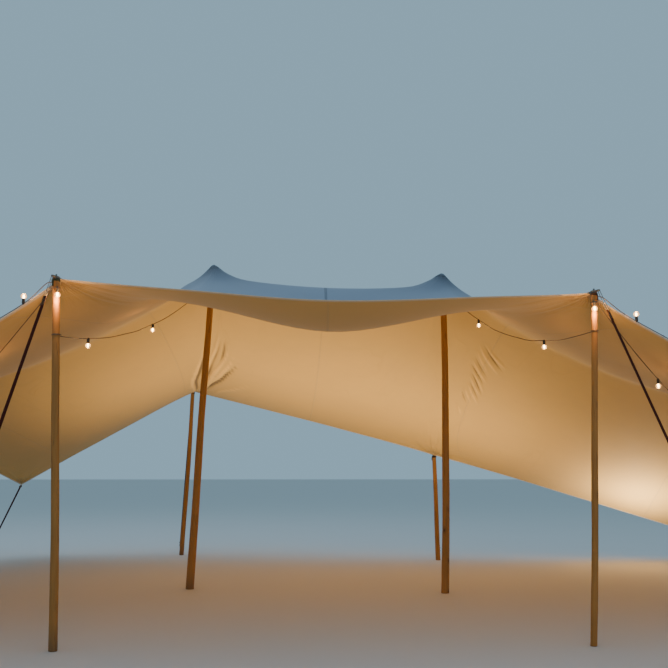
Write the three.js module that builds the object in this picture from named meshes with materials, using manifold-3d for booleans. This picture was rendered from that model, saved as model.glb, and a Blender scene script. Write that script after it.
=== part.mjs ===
// Stretch tent: one sewn stretch cloth drawn over two tall centre poles and six leaning edge poles,
// and held out by webbing guys and corner straps that run to stakes in the ground.
// Millimetres, +Z up. The open front faces -Y, and the origin is on the ground under the middle of the plan.
import * as THREE from "three";
import { mergeVertices } from "three/addons/utils/BufferGeometryUtils.js";
import Module from "manifold-3d";

const wasm = await Module();
wasm.setup();

const MM_PER_METRE = 1000;

// Touching pieces keep this gap
const SEAT_GAP = 0.3;

// The cloth as it was cut, in metres, and where its supports take hold of it
const CLOTH_WIDTH = 12.5;
const CLOTH_DEPTH = 7.5;
const CORNER_BAND = 1;
const EDGE_POLE_INSET = 4.35;
const PEAK_INSET = 5;
const PEAK_DEPTH = 3.5;
const PEAK_CAP = 0.05;
const SHEET_THICKNESS = 8;

// How hard the cloth and its edge webbing are stretched, each against the plain cloth's own pull.
// An edge's pull is given as the width of plain cloth, in metres, that pulls as hard.
const FRONT_EDGE_PULL = 11;
const REAR_EDGE_PULL = 33;
const SIDE_EDGE_PULL = 21;
const CLOTH_WEIGHT = 0.17;
const PEAK_PULL = 10;
const PEAK_PULL_RADIUS = 0.5;
const BAND_RADIUS = 0.42;

// The slack middle of the front bay hangs in a belly behind the front edge
const BELLY_PLACE = [CLOTH_WIDTH / 2, 1.42];
const BELLY_LOAD = 2.6;
const BELLY_RADIUS = 0.92;

// When the cloth counts as settled
const BALANCE_GOAL = 1e-16;
const MOST_BALANCE_ROUNDS = 6000;

// Round timber poles
const POLE_SIDES = 24;

// Steel pin on each edge pole, and the plate on the cloth's edge that drops over it
const PIN_DISC_RADIUS = 26;
const PIN_DISC_THICKNESS = 8;
const PIN_RADIUS = 8.6;
const PIN_HOLE_RADIUS = 9;
const PIN_ABOVE_PLATE = 22;
const PLATE_THICKNESS = 12;
const PLATE_TIP_HALF_WIDTH = 6;
const PLATE_RING_RADIUS = 30;
const PLATE_LUG_RADIUS = 14;
const PIN_REACH = 60;
const LUG_REACH = 118;
const PLATE_EDGE_GAP = 0.5;
const RIM_SEARCH = 20;
const RIM_SEARCH_STEP = 0.25;

// Guy: a steel link from the plate's lug, then flat webbing down to the stake
const LINK_RADIUS = 6;
const LINK_LENGTH = 230;
const WEBBING_WIDTH = 30;
const WEBBING_THICKNESS = 4;

// Corner strap: a reinforced tongue on the cloth's corner, then the same webbing
const TONGUE_LENGTH = 70;
const TONGUE_HALF_WIDTH = 22;
const TONGUE_THICKNESS = 8;
const TONGUE_LAP = 10;

// Stake: the part of a steel stake that stands above the ground, and the strap's loop round it
const STAKE_RADIUS = 12;
const STAKE_HEIGHT = 90;
const STAKE_HEAD_RADIUS = 24;
const STAKE_HEAD_THICKNESS = 12;
const LOOP_RADIUS = 26;
const LOOP_THICKNESS = 8;
const LOOP_HEIGHT = 44;
const STRAP_END_FROM_STAKE = 20;
const LOOP_GAP = 0.5;

// Each peak of the cloth is a small dome, over a rounded pad on the centre pole
const CAP_REACH = 56;
const CAP_DROP = 14;
const PAD_RADIUS = 42;
const PAD_SKIRT = 40;
const PAD_GAP = 0.6;
const PAD_SLOPE_MARGIN = 1.15;

// Lamp strings: a thin cable with a lamp on it every so often
const CABLE_RADIUS = 4;
const CABLE_HALF_SIDES = 4;
const CABLE_STEP = 110;
const CABLE_LEAD = 30;
const CABLE_POLE_GAP = 0.45;
const LAMP_SPACING = 1250;
const HOLDER_RADIUS = 14;
const HOLDER_LENGTH = 46;
const BULB_RADIUS = 25;
const LAMP_SIDES = 8;
const LAMP_ARC_STEPS = 5;
const POLE_WRAP_GAP = 7;
const POLE_WRAP_STEP = 26;
const POLE_WRAP_POINTS = 12;
const POLE_LAMP_GAP = 36;
const SWAG_END_ROOM = 550;
const RIM_END_ROOM = 100;
const RIM_CORNER_COLUMNS = 2;
const RIM_CABLE_DROP = 32;
const RIM_CABLE_OFFSET = 26;

const ROUND_SIDES = 18;
const LINK_SIDES = 12;
const ARC_SEGMENTS = 10;

const place = (x, y, z) => new THREE.Vector3(x, y, z);

// Edge poles: the cloth point each one holds, where that point is, the pole's foot and its guy's stake,
// and the pole's radii at its foot and its top
const edgePoles = {
  front_left: {
    cloth: [EDGE_POLE_INSET, 0],
    hold: place(-2380, -3750, 3125),
    foot: place(-2235, -3750, 0),
    stake: place(-2710, -5200, 0),
    radii: [36, 32],
  },
  front_right: {
    cloth: [CLOTH_WIDTH - EDGE_POLE_INSET, 0],
    hold: place(2390, -3750, 3045),
    foot: place(2241, -3750, 0),
    stake: place(2960, -5200, 0),
    radii: [29, 27],
  },
  side_left: {
    cloth: [0, PEAK_DEPTH],
    hold: place(-6600, -200, 2500),
    foot: place(-6440, -200, 0),
    stake: place(-8100, -200, 0),
    radii: [35, 32],
  },
  side_right: {
    cloth: [CLOTH_WIDTH, PEAK_DEPTH],
    hold: place(6600, -600, 2500),
    foot: place(6440, -600, 0),
    stake: place(8100, -600, 0),
    radii: [35, 32],
  },
  rear_left: {
    cloth: [EDGE_POLE_INSET, CLOTH_DEPTH],
    hold: place(-2240, 3740, 2930),
    foot: place(-2350, 3740, 0),
    stake: place(-2600, 5200, 0),
    radii: [40, 35],
  },
  rear_right: {
    cloth: [CLOTH_WIDTH - EDGE_POLE_INSET, CLOTH_DEPTH],
    hold: place(2050, 2750, 1740),
    foot: place(2080, 2750, 0),
    stake: place(2300, 3850, 0),
    radii: [40, 35],
  },
};

// Centre poles: the two peaks
const centrePoles = {
  centre_left: {
    cloth: [PEAK_INSET, PEAK_DEPTH],
    hold: place(-1440, -370, 4210),
    foot: place(-1612, -370, 0),
    radii: [52, 38],
  },
  centre_right: {
    cloth: [CLOTH_WIDTH - PEAK_INSET, PEAK_DEPTH],
    hold: place(1600, -830, 4000),
    foot: place(1530, -830, 0),
    radii: [48, 38],
  },
};

// Corners of the cloth, strapped straight down to stakes
const corners = {
  front_left_corner: {
    cloth: [0, 0],
    hold: place(-6500, -4500, 250),
    stake: place(-7100, -4900, 0),
  },
  front_right_corner: {
    cloth: [CLOTH_WIDTH, 0],
    hold: place(7200, -4400, 250),
    stake: place(7800, -4800, 0),
  },
  rear_left_corner: {
    cloth: [0, CLOTH_DEPTH],
    hold: place(-5200, 3600, 1230),
    stake: place(-6200, 5000, 0),
  },
  rear_right_corner: {
    cloth: [CLOTH_WIDTH, CLOTH_DEPTH],
    hold: place(7000, 2600, 250),
    stake: place(7600, 3050, 0),
  },
};

// Swags of lamps between poles: how far below each pole's top they are tied, the cable's free hang in
// between, how far along it the first lamp hangs and how far apart its lamps are. Where a swag also carries
// a lamp at its first pole, poleLampAngle is where that lamp hangs, and the cable wraps the pole from there.
const lampSwags = {
  left_inner: {
    from: "front_left",
    to: "centre_left",
    fromDrop: 500,
    toDrop: 190,
    firstLamp: 470,
    lampSpacing: 1380,
    hang: [
      [-2280, -3460, 2640], [-2200, -3190, 2690], [-2130, -2910, 2750], [-2060, -2640, 2830],
      [-1980, -2360, 2920], [-1910, -2090, 3030], [-1830, -1810, 3150], [-1760, -1540, 3280],
      [-1690, -1260, 3430], [-1610, -990, 3590], [-1540, -710, 3770],
    ],
  },
  right_inner: {
    from: "front_right",
    to: "centre_right",
    fromDrop: 350,
    toDrop: 180,
    firstLamp: 750,
    lampSpacing: 1420,
    hang: [
      [2310, -3510, 2680], [2250, -3270, 2690], [2190, -3030, 2730], [2120, -2790, 2770],
      [2060, -2560, 2840], [2000, -2320, 2920], [1930, -2080, 3020], [1870, -1850, 3140],
      [1810, -1610, 3270], [1740, -1370, 3420], [1680, -1130, 3580],
    ],
  },
  left_outer: {
    from: "front_left",
    to: "side_left",
    fromDrop: 90,
    toDrop: 80,
    firstLamp: 1000,
    lampSpacing: LAMP_SPACING,
    poleLampAngle: -60,
    hang: [
      [-2810, -3470, 2710], [-3160, -3180, 2440], [-3500, -2890, 2220], [-3850, -2590, 2050],
      [-4190, -2300, 1930], [-4540, -2000, 1850], [-4880, -1710, 1830], [-5220, -1420, 1850],
      [-5570, -1120, 1910], [-5910, -830, 2030], [-6260, -540, 2190],
    ],
  },
  right_outer: {
    from: "front_right",
    to: "side_right",
    fromDrop: 90,
    toDrop: 80,
    firstLamp: 1150,
    lampSpacing: LAMP_SPACING,
    poleLampAngle: -110,
    hang: [
      [2820, -3500, 2630], [3170, -3240, 2370], [3510, -2980, 2160], [3850, -2720, 2000],
      [4200, -2460, 1880], [4540, -2200, 1810], [4880, -1940, 1790], [5230, -1680, 1820],
      [5570, -1420, 1890], [5910, -1160, 2020], [6260, -900, 2190],
    ],
  },
};

// Lamps clipped along the front rim, from each front pole towards the corner
const lampRims = {
  left_rim: { from: "front_left", columnStep: -1, firstLamp: 330 },
  right_rim: { from: "front_right", columnStep: 1, firstLamp: 440 },
};

// Bands of cloth between supports that carry more than the rest: both ends, then the extra pull
const centreLeftCloth = centrePoles.centre_left.cloth;
const centreRightCloth = centrePoles.centre_right.cloth;
const pullBands = [
  { from: centreLeftCloth, to: centreRightCloth, extra: 1.8 },
  { from: centreLeftCloth, to: edgePoles.front_left.cloth, extra: 5 },
  { from: centreRightCloth, to: edgePoles.front_right.cloth, extra: 5 },
  { from: centreLeftCloth, to: edgePoles.rear_left.cloth, extra: 6 },
  { from: centreRightCloth, to: edgePoles.rear_right.cloth, extra: 6 },
  { from: centreLeftCloth, to: edgePoles.side_left.cloth, extra: 5 },
  { from: centreRightCloth, to: edgePoles.side_right.cloth, extra: 5 },
];

function finish(color, roughness, metalness) {
  return new THREE.MeshStandardMaterial({ color, roughness, metalness });
}

const clothFinish = finish(0xb8946a, 0.85, 0);
const timberFinish = finish(0x9c6a3f, 0.6, 0);
const steelFinish = finish(0x85878a, 0.4, 0.9);
const webbingFinish = finish(0x3a2522, 0.8, 0);
const padFinish = finish(0x24211f, 0.7, 0);
const lampFinish = finish(0xf3dcae, 0.3, 0);

const tent = new THREE.Group();

function add(name, geometry, material) {
  const mesh = new THREE.Mesh(geometry, material);
  mesh.name = name;
  tent.add(mesh);
}

function toSolid(geometry) {
  const bare = geometry.clone();
  bare.deleteAttribute("normal");
  bare.deleteAttribute("uv");
  const merged = mergeVertices(bare);
  const mesh = new wasm.Mesh({
    numProp: 3,
    vertProperties: new Float32Array(merged.attributes.position.array),
    triVerts: new Uint32Array(merged.index.array),
  });
  return new wasm.Manifold(mesh);
}

function toGeometry(solid) {
  const mesh = solid.getMesh();
  const geometry = new THREE.BufferGeometry();
  geometry.setAttribute("position", new THREE.BufferAttribute(new Float32Array(mesh.vertProperties), 3));
  geometry.setIndex(new THREE.BufferAttribute(new Uint32Array(mesh.triVerts), 1));
  geometry.computeVertexNormals();
  return geometry;
}

function join(...geometries) {
  let whole = toSolid(geometries[0]);
  for (const geometry of geometries.slice(1)) {
    whole = whole.add(toSolid(geometry));
  }
  return toGeometry(whole);
}

// Axes with +X along a direction, +Y level and +Z as upright as it can be
function frameAlong(origin, forward) {
  const x = forward.clone().normalize();
  const y = place(0, 0, 1).cross(x).normalize();
  const z = x.clone().cross(y);
  return new THREE.Matrix4().makeBasis(x, y, z).setPosition(origin);
}

function upright(radiusTop, radiusBottom, bottom, top, sides = ROUND_SIDES) {
  const height = top - bottom;
  const geometry = new THREE.CylinderGeometry(radiusTop, radiusBottom, height, sides);
  return geometry.rotateX(Math.PI / 2).translate(0, 0, bottom + height / 2);
}

function slab(shape, thickness) {
  const settings = { depth: thickness, bevelEnabled: false, curveSegments: ARC_SEGMENTS };
  return new THREE.ExtrudeGeometry(shape, settings).translate(0, 0, -thickness / 2);
}

// Stops along the cloth with even steps between them
function stations(stops, counts) {
  const list = [stops[0]];
  counts.forEach((count, k) => {
    for (let step = 1; step <= count; step += 1) {
      list.push(stops[k] + ((stops[k + 1] - stops[k]) * step) / count);
    }
  });
  return list;
}

const clothColumns = stations(
  [
    0,
    CORNER_BAND,
    EDGE_POLE_INSET,
    PEAK_INSET - PEAK_CAP,
    PEAK_INSET,
    PEAK_INSET + PEAK_CAP,
    CLOTH_WIDTH / 2,
    CLOTH_WIDTH - PEAK_INSET - PEAK_CAP,
    CLOTH_WIDTH - PEAK_INSET,
    CLOTH_WIDTH - PEAK_INSET + PEAK_CAP,
    CLOTH_WIDTH - EDGE_POLE_INSET,
    CLOTH_WIDTH - CORNER_BAND,
    CLOTH_WIDTH,
  ],
  [3, 10, 3, 1, 1, 6, 6, 1, 1, 3, 10, 3],
);
const clothRows = stations(
  [0, PEAK_DEPTH - PEAK_CAP, PEAK_DEPTH, PEAK_DEPTH + PEAK_CAP, CLOTH_DEPTH],
  [13, 1, 1, 14],
);
const lastColumn = clothColumns.length - 1;
const lastRow = clothRows.length - 1;

const gridIndex = (column, row) => column * clothRows.length + row;

function nearestIndex(list, value) {
  let best = 0;
  list.forEach((entry, k) => {
    if (Math.abs(entry - value) < Math.abs(list[best] - value)) {
      best = k;
    }
  });
  return best;
}

function gridPlace([u, v]) {
  return [nearestIndex(clothColumns, u), nearestIndex(clothRows, v)];
}

function distanceToBand(u, v, { from, to }) {
  const along = [to[0] - from[0], to[1] - from[1]];
  const offset = [u - from[0], v - from[1]];
  const lengthSquared = along[0] ** 2 + along[1] ** 2;
  const t = Math.min(1, Math.max(0, (offset[0] * along[0] + offset[1] * along[1]) / lengthSquared));
  return Math.hypot(offset[0] - t * along[0], offset[1] - t * along[1]);
}

// The cloth's pull at a point of it, against plain cloth
function pullAt(u, v) {
  let pull = 1;
  for (const band of pullBands) {
    pull += band.extra * Math.exp(-((distanceToBand(u, v, band) / BAND_RADIUS) ** 2));
  }
  for (const { cloth } of Object.values(centrePoles)) {
    const distance = Math.hypot(u - cloth[0], v - cloth[1]);
    pull += PEAK_PULL * Math.exp(-((distance / PEAK_PULL_RADIUS) ** 2));
  }
  return pull;
}

// Half the distance between the two neighbours of each station
function shares(list) {
  return list.map((value, k) => ((list[k + 1] ?? value) - (list[k - 1] ?? value)) / 2);
}

// The net of threads that stands for the cloth: each thread joins two grid points and has its pull
function clothThreads() {
  const threads = [];
  const columnShare = shares(clothColumns);
  const rowShare = shares(clothRows);
  for (let column = 0; column < lastColumn; column += 1) {
    const length = clothColumns[column + 1] - clothColumns[column];
    const middle = (clothColumns[column + 1] + clothColumns[column]) / 2;
    clothRows.forEach((v, row) => {
      let pull = (rowShare[row] / length) * pullAt(middle, v);
      if (row === 0) {
        pull += FRONT_EDGE_PULL / length;
      }
      if (row === lastRow) {
        pull += REAR_EDGE_PULL / length;
      }
      threads.push({ a: gridIndex(column, row), b: gridIndex(column + 1, row), pull });
    });
  }
  for (let row = 0; row < lastRow; row += 1) {
    const length = clothRows[row + 1] - clothRows[row];
    const middle = (clothRows[row + 1] + clothRows[row]) / 2;
    clothColumns.forEach((u, column) => {
      let pull = (columnShare[column] / length) * pullAt(u, middle);
      if (column === 0 || column === lastColumn) {
        pull += SIDE_EDGE_PULL / length;
      }
      threads.push({ a: gridIndex(column, row), b: gridIndex(column, row + 1), pull });
    });
  }
  return threads;
}

// The downward load on each grid point: the cloth's own weight, and the belly's
function clothLoads() {
  const columnShare = shares(clothColumns);
  const rowShare = shares(clothRows);
  const weights = [];
  const belly = [];
  clothColumns.forEach((u, column) => {
    clothRows.forEach((v, row) => {
      const distance = Math.hypot(u - BELLY_PLACE[0], v - BELLY_PLACE[1]);
      weights.push(CLOTH_WEIGHT * columnShare[column] * rowShare[row]);
      belly.push(Math.exp(-((distance / BELLY_RADIUS) ** 2)));
    });
  });
  const bellyTotal = belly.reduce((sum, value) => sum + value, 0);
  return weights.map((weight, k) => -(weight + (BELLY_LOAD * belly[k]) / bellyTotal));
}

// Solves for the one coordinate that leaves every free grid point in balance, by conjugate gradients
function balance(threads, held, start, loads) {
  const count = start.length;
  const pullOf = (values) => {
    const result = new Float64Array(count);
    for (const { a, b, pull } of threads) {
      const force = pull * (values[a] - values[b]);
      result[a] += force;
      result[b] -= force;
    }
    return result;
  };
  const values = Float64Array.from(start);
  const residual = pullOf(values).map((force, k) => (held[k] ? 0 : loads[k] - force));
  let direction = Float64Array.from(residual);
  let size = residual.reduce((sum, value) => sum + value * value, 0);
  const goal = BALANCE_GOAL * Math.max(size, 1);
  for (let round = 0; round < MOST_BALANCE_ROUNDS && size > goal; round += 1) {
    const pulled = pullOf(direction).map((force, k) => (held[k] ? 0 : force));
    const step = size / direction.reduce((sum, value, k) => sum + value * pulled[k], 0);
    for (let k = 0; k < count; k += 1) {
      values[k] += step * direction[k];
      residual[k] -= step * pulled[k];
    }
    const newSize = residual.reduce((sum, value) => sum + value * value, 0);
    direction = direction.map((value, k) => residual[k] + (newSize / size) * value);
    size = newSize;
  }
  return values;
}

// The eight grid points round a peak, as steps across and deep
const peakRing = [[1, 0], [1, 1], [0, 1], [-1, 1], [-1, 0], [-1, -1], [0, -1], [1, -1]];

// The middle surface of the stretched cloth, in millimetres
function stretchedCloth() {
  const count = clothColumns.length * clothRows.length;
  const held = new Array(count).fill(false);
  const startX = new Float64Array(count);
  const startY = new Float64Array(count);
  const startZ = new Float64Array(count);
  const holdAt = (column, row, point) => {
    const index = gridIndex(column, row);
    held[index] = true;
    startX[index] = point.x / MM_PER_METRE;
    startY[index] = point.y / MM_PER_METRE;
    startZ[index] = point.z / MM_PER_METRE;
  };
  for (const { cloth, hold } of [...Object.values(edgePoles), ...Object.values(corners)]) {
    holdAt(...gridPlace(cloth), hold);
  }
  for (const { cloth, hold } of Object.values(centrePoles)) {
    const [column, row] = gridPlace(cloth);
    holdAt(column, row, hold);
    for (const [across, deep] of peakRing) {
      const offset = place(across, deep, 0).normalize().multiplyScalar(CAP_REACH).setZ(-CAP_DROP);
      holdAt(column + across, row + deep, hold.clone().add(offset));
    }
  }
  const threads = clothThreads();
  const noLoad = new Float64Array(count);
  const x = balance(threads, held, startX, noLoad);
  const y = balance(threads, held, startY, noLoad);
  const z = balance(threads, held, startZ, clothLoads());
  return Array.from(x, (value, k) => place(value, y[k], z[k]).multiplyScalar(MM_PER_METRE));
}

const clothPoints = stretchedCloth();

function clothNormals(points) {
  return points.map((point, k) => {
    const column = Math.floor(k / clothRows.length);
    const row = k % clothRows.length;
    const left = points[gridIndex(Math.max(column - 1, 0), row)];
    const right = points[gridIndex(Math.min(column + 1, lastColumn), row)];
    const front = points[gridIndex(column, Math.max(row - 1, 0))];
    const rear = points[gridIndex(column, Math.min(row + 1, lastRow))];
    return right.clone().sub(left).cross(rear.clone().sub(front)).normalize();
  });
}

const clothUp = clothNormals(clothPoints);

// The cloth's surface at a height over its middle surface
function clothSurface(height) {
  return clothPoints.map((point, k) => point.clone().addScaledVector(clothUp[k], height));
}

const clothTop = clothSurface(SHEET_THICKNESS / 2);
const clothUnder = clothSurface(-SHEET_THICKNESS / 2);

// The grid points of the cloth's outline, counter-clockwise from above
function outlineIndices() {
  const list = [];
  for (let column = 0; column < lastColumn; column += 1) {
    list.push(gridIndex(column, 0));
  }
  for (let row = 0; row < lastRow; row += 1) {
    list.push(gridIndex(lastColumn, row));
  }
  for (let column = lastColumn; column > 0; column -= 1) {
    list.push(gridIndex(column, lastRow));
  }
  for (let row = lastRow; row > 0; row -= 1) {
    list.push(gridIndex(0, row));
  }
  return list;
}

const clothOutline = outlineIndices();

function canopyGeometry() {
  const count = clothPoints.length;
  const faces = [];
  const quad = (a, b, c, d) => faces.push(a, b, c, a, c, d);
  for (let column = 0; column < lastColumn; column += 1) {
    for (let row = 0; row < lastRow; row += 1) {
      const a = gridIndex(column, row);
      const b = gridIndex(column + 1, row);
      const c = gridIndex(column + 1, row + 1);
      const d = gridIndex(column, row + 1);
      if ((column + row) % 2 === 1) {
        quad(a, b, c, d);
        quad(count + a, count + d, count + c, count + b);
      } else {
        quad(b, c, d, a);
        quad(count + b, count + a, count + d, count + c);
      }
    }
  }
  clothOutline.forEach((a, k) => {
    const b = clothOutline[(k + 1) % clothOutline.length];
    quad(b, a, count + a, count + b);
  });
  const positions = [...clothTop, ...clothUnder].flatMap((point) => point.toArray());
  const geometry = new THREE.BufferGeometry();
  geometry.setAttribute("position", new THREE.Float32BufferAttribute(positions, 3));
  geometry.setIndex(faces);
  geometry.computeVertexNormals();
  return geometry;
}

// How far the cloth's rim reaches past a support point, inside the band that a fitting's tip meets
function rimReach(cloth, frame, halfWidth, halfThickness) {
  const index = gridIndex(...gridPlace(cloth));
  const spot = clothOutline.indexOf(index);
  const before = clothOutline[(spot + clothOutline.length - 1) % clothOutline.length];
  const after = clothOutline[(spot + 1) % clothOutline.length];
  const toFrame = frame.clone().invert();
  let reach = -Infinity;
  for (const surface of [clothTop, clothPoints, clothUnder]) {
    for (const neighbour of [before, after]) {
      const length = surface[index].distanceTo(surface[neighbour]);
      for (let distance = 0; distance < RIM_SEARCH; distance += RIM_SEARCH_STEP) {
        const local = surface[index].clone().lerp(surface[neighbour], distance / length);
        local.applyMatrix4(toFrame);
        const across = Math.abs(local.y) - halfWidth;
        const upward = Math.abs(local.z) - halfThickness;
        if (across <= PLATE_EDGE_GAP && upward <= PLATE_EDGE_GAP) {
          reach = Math.max(reach, local.x);
        }
      }
    }
  }
  return reach;
}

function levelDirection(from, to) {
  return place(to.x - from.x, to.y - from.y, 0).normalize();
}

// Where the webbing ends, at the near side of its loop round the stake
function strapEnd(hold, stake) {
  return stake
    .clone()
    .addScaledVector(levelDirection(hold, stake), -STRAP_END_FROM_STAKE)
    .setZ(LOOP_HEIGHT);
}

function webbing(from, to) {
  const length = from.distanceTo(to);
  const strap = new THREE.BoxGeometry(length, WEBBING_WIDTH, WEBBING_THICKNESS);
  return strap.translate(length / 2, 0, 0).applyMatrix4(frameAlong(from, to.clone().sub(from)));
}

function stakeLoop(stake) {
  const ring = new THREE.Shape().absarc(0, 0, LOOP_RADIUS, 0, Math.PI * 2);
  ring.holes.push(new THREE.Path().absarc(0, 0, STAKE_RADIUS + LOOP_GAP, 0, Math.PI * 2));
  return slab(ring, LOOP_THICKNESS).translate(stake.x, stake.y, LOOP_HEIGHT);
}

function stakeGeometry(stake) {
  const shank = upright(STAKE_RADIUS, STAKE_RADIUS, 0, STAKE_HEIGHT);
  const headTop = STAKE_HEIGHT + STAKE_HEAD_THICKNESS;
  const head = upright(STAKE_HEAD_RADIUS, STAKE_HEAD_RADIUS, STAKE_HEIGHT - 1, headTop);
  return join(shank, head).translate(stake.x, stake.y, 0);
}

// A leaning pole whose foot and top are both level
function poleGeometry(foot, top, [footRadius, topRadius]) {
  const geometry = upright(topRadius, footRadius, 0, top.z, POLE_SIDES);
  const lean = new THREE.Matrix4().set(
    1, 0, (top.x - foot.x) / top.z, foot.x,
    0, 1, (top.y - foot.y) / top.z, foot.y,
    0, 0, 1, 0,
    0, 0, 0, 1,
  );
  return geometry.applyMatrix4(lean);
}

// Each pole's axis and radii, kept so that cables can be tied to it
const poleAxes = {};

function addPole(name, foot, top, radii) {
  poleAxes[name] = { foot, top, radii };
  add(`${name}_pole`, poleGeometry(foot, top, radii), timberFinish);
}

// The plate on the cloth's edge, from its narrow tip at the rim, round the pin, to the guy's lug
function plateShape(tip) {
  const shape = new THREE.Shape();
  shape.moveTo(tip, -PLATE_TIP_HALF_WIDTH);
  shape.lineTo(PIN_REACH - PLATE_RING_RADIUS * 0.6, -PLATE_RING_RADIUS * 0.8);
  shape.absarc(PIN_REACH, 0, PLATE_RING_RADIUS, -Math.PI * 0.7, -Math.PI * 0.3);
  shape.absarc(LUG_REACH, 0, PLATE_LUG_RADIUS, -Math.PI / 2, Math.PI / 2);
  shape.absarc(PIN_REACH, 0, PLATE_RING_RADIUS, Math.PI * 0.3, Math.PI * 0.7);
  shape.lineTo(tip, PLATE_TIP_HALF_WIDTH);
  shape.closePath();
  shape.holes.push(new THREE.Path().absarc(PIN_REACH, 0, PIN_HOLE_RADIUS, 0, Math.PI * 2));
  return shape;
}

function pinGeometry(top) {
  const discTop = top.z - PLATE_THICKNESS / 2 - SEAT_GAP;
  const disc = upright(PIN_DISC_RADIUS, PIN_DISC_RADIUS, discTop - PIN_DISC_THICKNESS, discTop);
  const pin = upright(PIN_RADIUS, PIN_RADIUS, discTop - 1, top.z + PLATE_THICKNESS / 2 + PIN_ABOVE_PLATE);
  return join(disc, pin).translate(top.x, top.y, 0);
}

function addStake(name, stake) {
  add(`${name}_stake`, stakeGeometry(stake), steelFinish);
}

function addEdgePole(name, { cloth, hold, foot, stake, radii }) {
  const outward = levelDirection(hold, stake);
  const frame = frameAlong(hold, outward);
  const tip = rimReach(cloth, frame, PLATE_TIP_HALF_WIDTH, PLATE_THICKNESS / 2) + PLATE_EDGE_GAP;
  const pinTop = hold.clone().addScaledVector(outward, PIN_REACH);
  const poleTop = pinTop.clone().setZ(hold.z - PLATE_THICKNESS / 2 - PIN_DISC_THICKNESS - 2 * SEAT_GAP);
  const lug = hold.clone().addScaledVector(outward, LUG_REACH);
  const end = strapEnd(hold, stake);
  const down = end.clone().sub(lug).normalize();
  const linkEnd = lug.clone().addScaledVector(down, LINK_LENGTH);
  const link = new THREE.CylinderGeometry(LINK_RADIUS, LINK_RADIUS, LINK_LENGTH, LINK_SIDES)
    .rotateZ(-Math.PI / 2)
    .translate(LINK_LENGTH / 2, 0, 0)
    .applyMatrix4(frameAlong(lug, down));
  const plate = slab(plateShape(tip), PLATE_THICKNESS).applyMatrix4(frame);
  const strapStart = linkEnd.clone().addScaledVector(down, SEAT_GAP);

  addPole(name, foot, poleTop, radii);
  add(`${name}_pole_pin`, pinGeometry(pinTop), steelFinish);
  add(`${name}_edge_plate`, join(plate, link), steelFinish);
  add(`${name}_guy_strap`, join(webbing(strapStart, end), stakeLoop(stake)), webbingFinish);
  addStake(name, stake);
}

function addCentrePole(name, { cloth, foot, radii }) {
  const peak = clothUnder[gridIndex(...gridPlace(cloth))];
  const tip = peak.z - PAD_GAP;
  const shoulder = tip - PAD_RADIUS * (CAP_DROP / CAP_REACH) * PAD_SLOPE_MARGIN;
  const base = shoulder - PAD_SKIRT;
  const profile = [
    new THREE.Vector2(0, base),
    new THREE.Vector2(PAD_RADIUS, base),
    new THREE.Vector2(PAD_RADIUS, shoulder),
    new THREE.Vector2(0, tip),
  ];
  const pad = new THREE.LatheGeometry(profile, ROUND_SIDES).rotateX(Math.PI / 2);
  addPole(name, foot, place(peak.x, peak.y, base - SEAT_GAP), radii);
  add(`${name}_pole_pad`, join(pad.translate(peak.x, peak.y, 0)), padFinish);
}

function poleRadius(name, height) {
  const { top, radii } = poleAxes[name];
  return THREE.MathUtils.lerp(radii[0], radii[1], height / top.z);
}

// A point just off a pole's surface, at a height, on the side that a level direction points to
function besidePole(name, height, direction) {
  const { foot, top } = poleAxes[name];
  const reach = poleRadius(name, height) + CABLE_POLE_GAP;
  return foot.clone().lerp(top, height / top.z).addScaledVector(direction, reach);
}

// A lamp standing or hanging from the cable: its holder and its bulb, turned as one solid
function lampGeometry(upward) {
  const bulbStart = Math.asin(HOLDER_RADIUS / BULB_RADIUS);
  const bulbCentre = HOLDER_LENGTH + BULB_RADIUS * Math.cos(bulbStart);
  const profile = [
    new THREE.Vector2(0, -2 * CABLE_RADIUS),
    new THREE.Vector2(HOLDER_RADIUS, -2 * CABLE_RADIUS),
  ];
  for (let step = 0; step <= LAMP_ARC_STEPS; step += 1) {
    const angle = bulbStart + ((Math.PI - bulbStart) * step) / LAMP_ARC_STEPS;
    const height = bulbCentre - BULB_RADIUS * Math.cos(angle);
    profile.push(new THREE.Vector2(BULB_RADIUS * Math.sin(angle), height));
  }
  profile[profile.length - 1].x = 0;
  const lamp = new THREE.LatheGeometry(profile, LAMP_SIDES).rotateX(Math.PI / 2);
  return upward ? lamp : lamp.rotateX(Math.PI);
}

function cableGeometry(route, stepLength) {
  return new THREE.ExtrudeGeometry(new THREE.Shape().absarc(0, 0, CABLE_RADIUS, 0, Math.PI * 2), {
    steps: Math.ceil(route.getLength() / stepLength),
    curveSegments: CABLE_HALF_SIDES,
    extrudePath: route,
  });
}

function smoothRoute(points) {
  return new THREE.CatmullRomCurve3(points, false, "centripetal");
}

// Lamps at even steps along a cable, from the first one to some way before its end
function lampsAlong(route, firstLamp, spacing, endRoom, upward) {
  const length = route.getLength();
  const lamps = [];
  for (let distance = firstLamp; distance < length - endRoom; distance += spacing) {
    const spot = route.getPointAt(distance / length);
    lamps.push(lampGeometry(upward).translate(spot.x, spot.y, spot.z));
  }
  return lamps;
}

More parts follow.
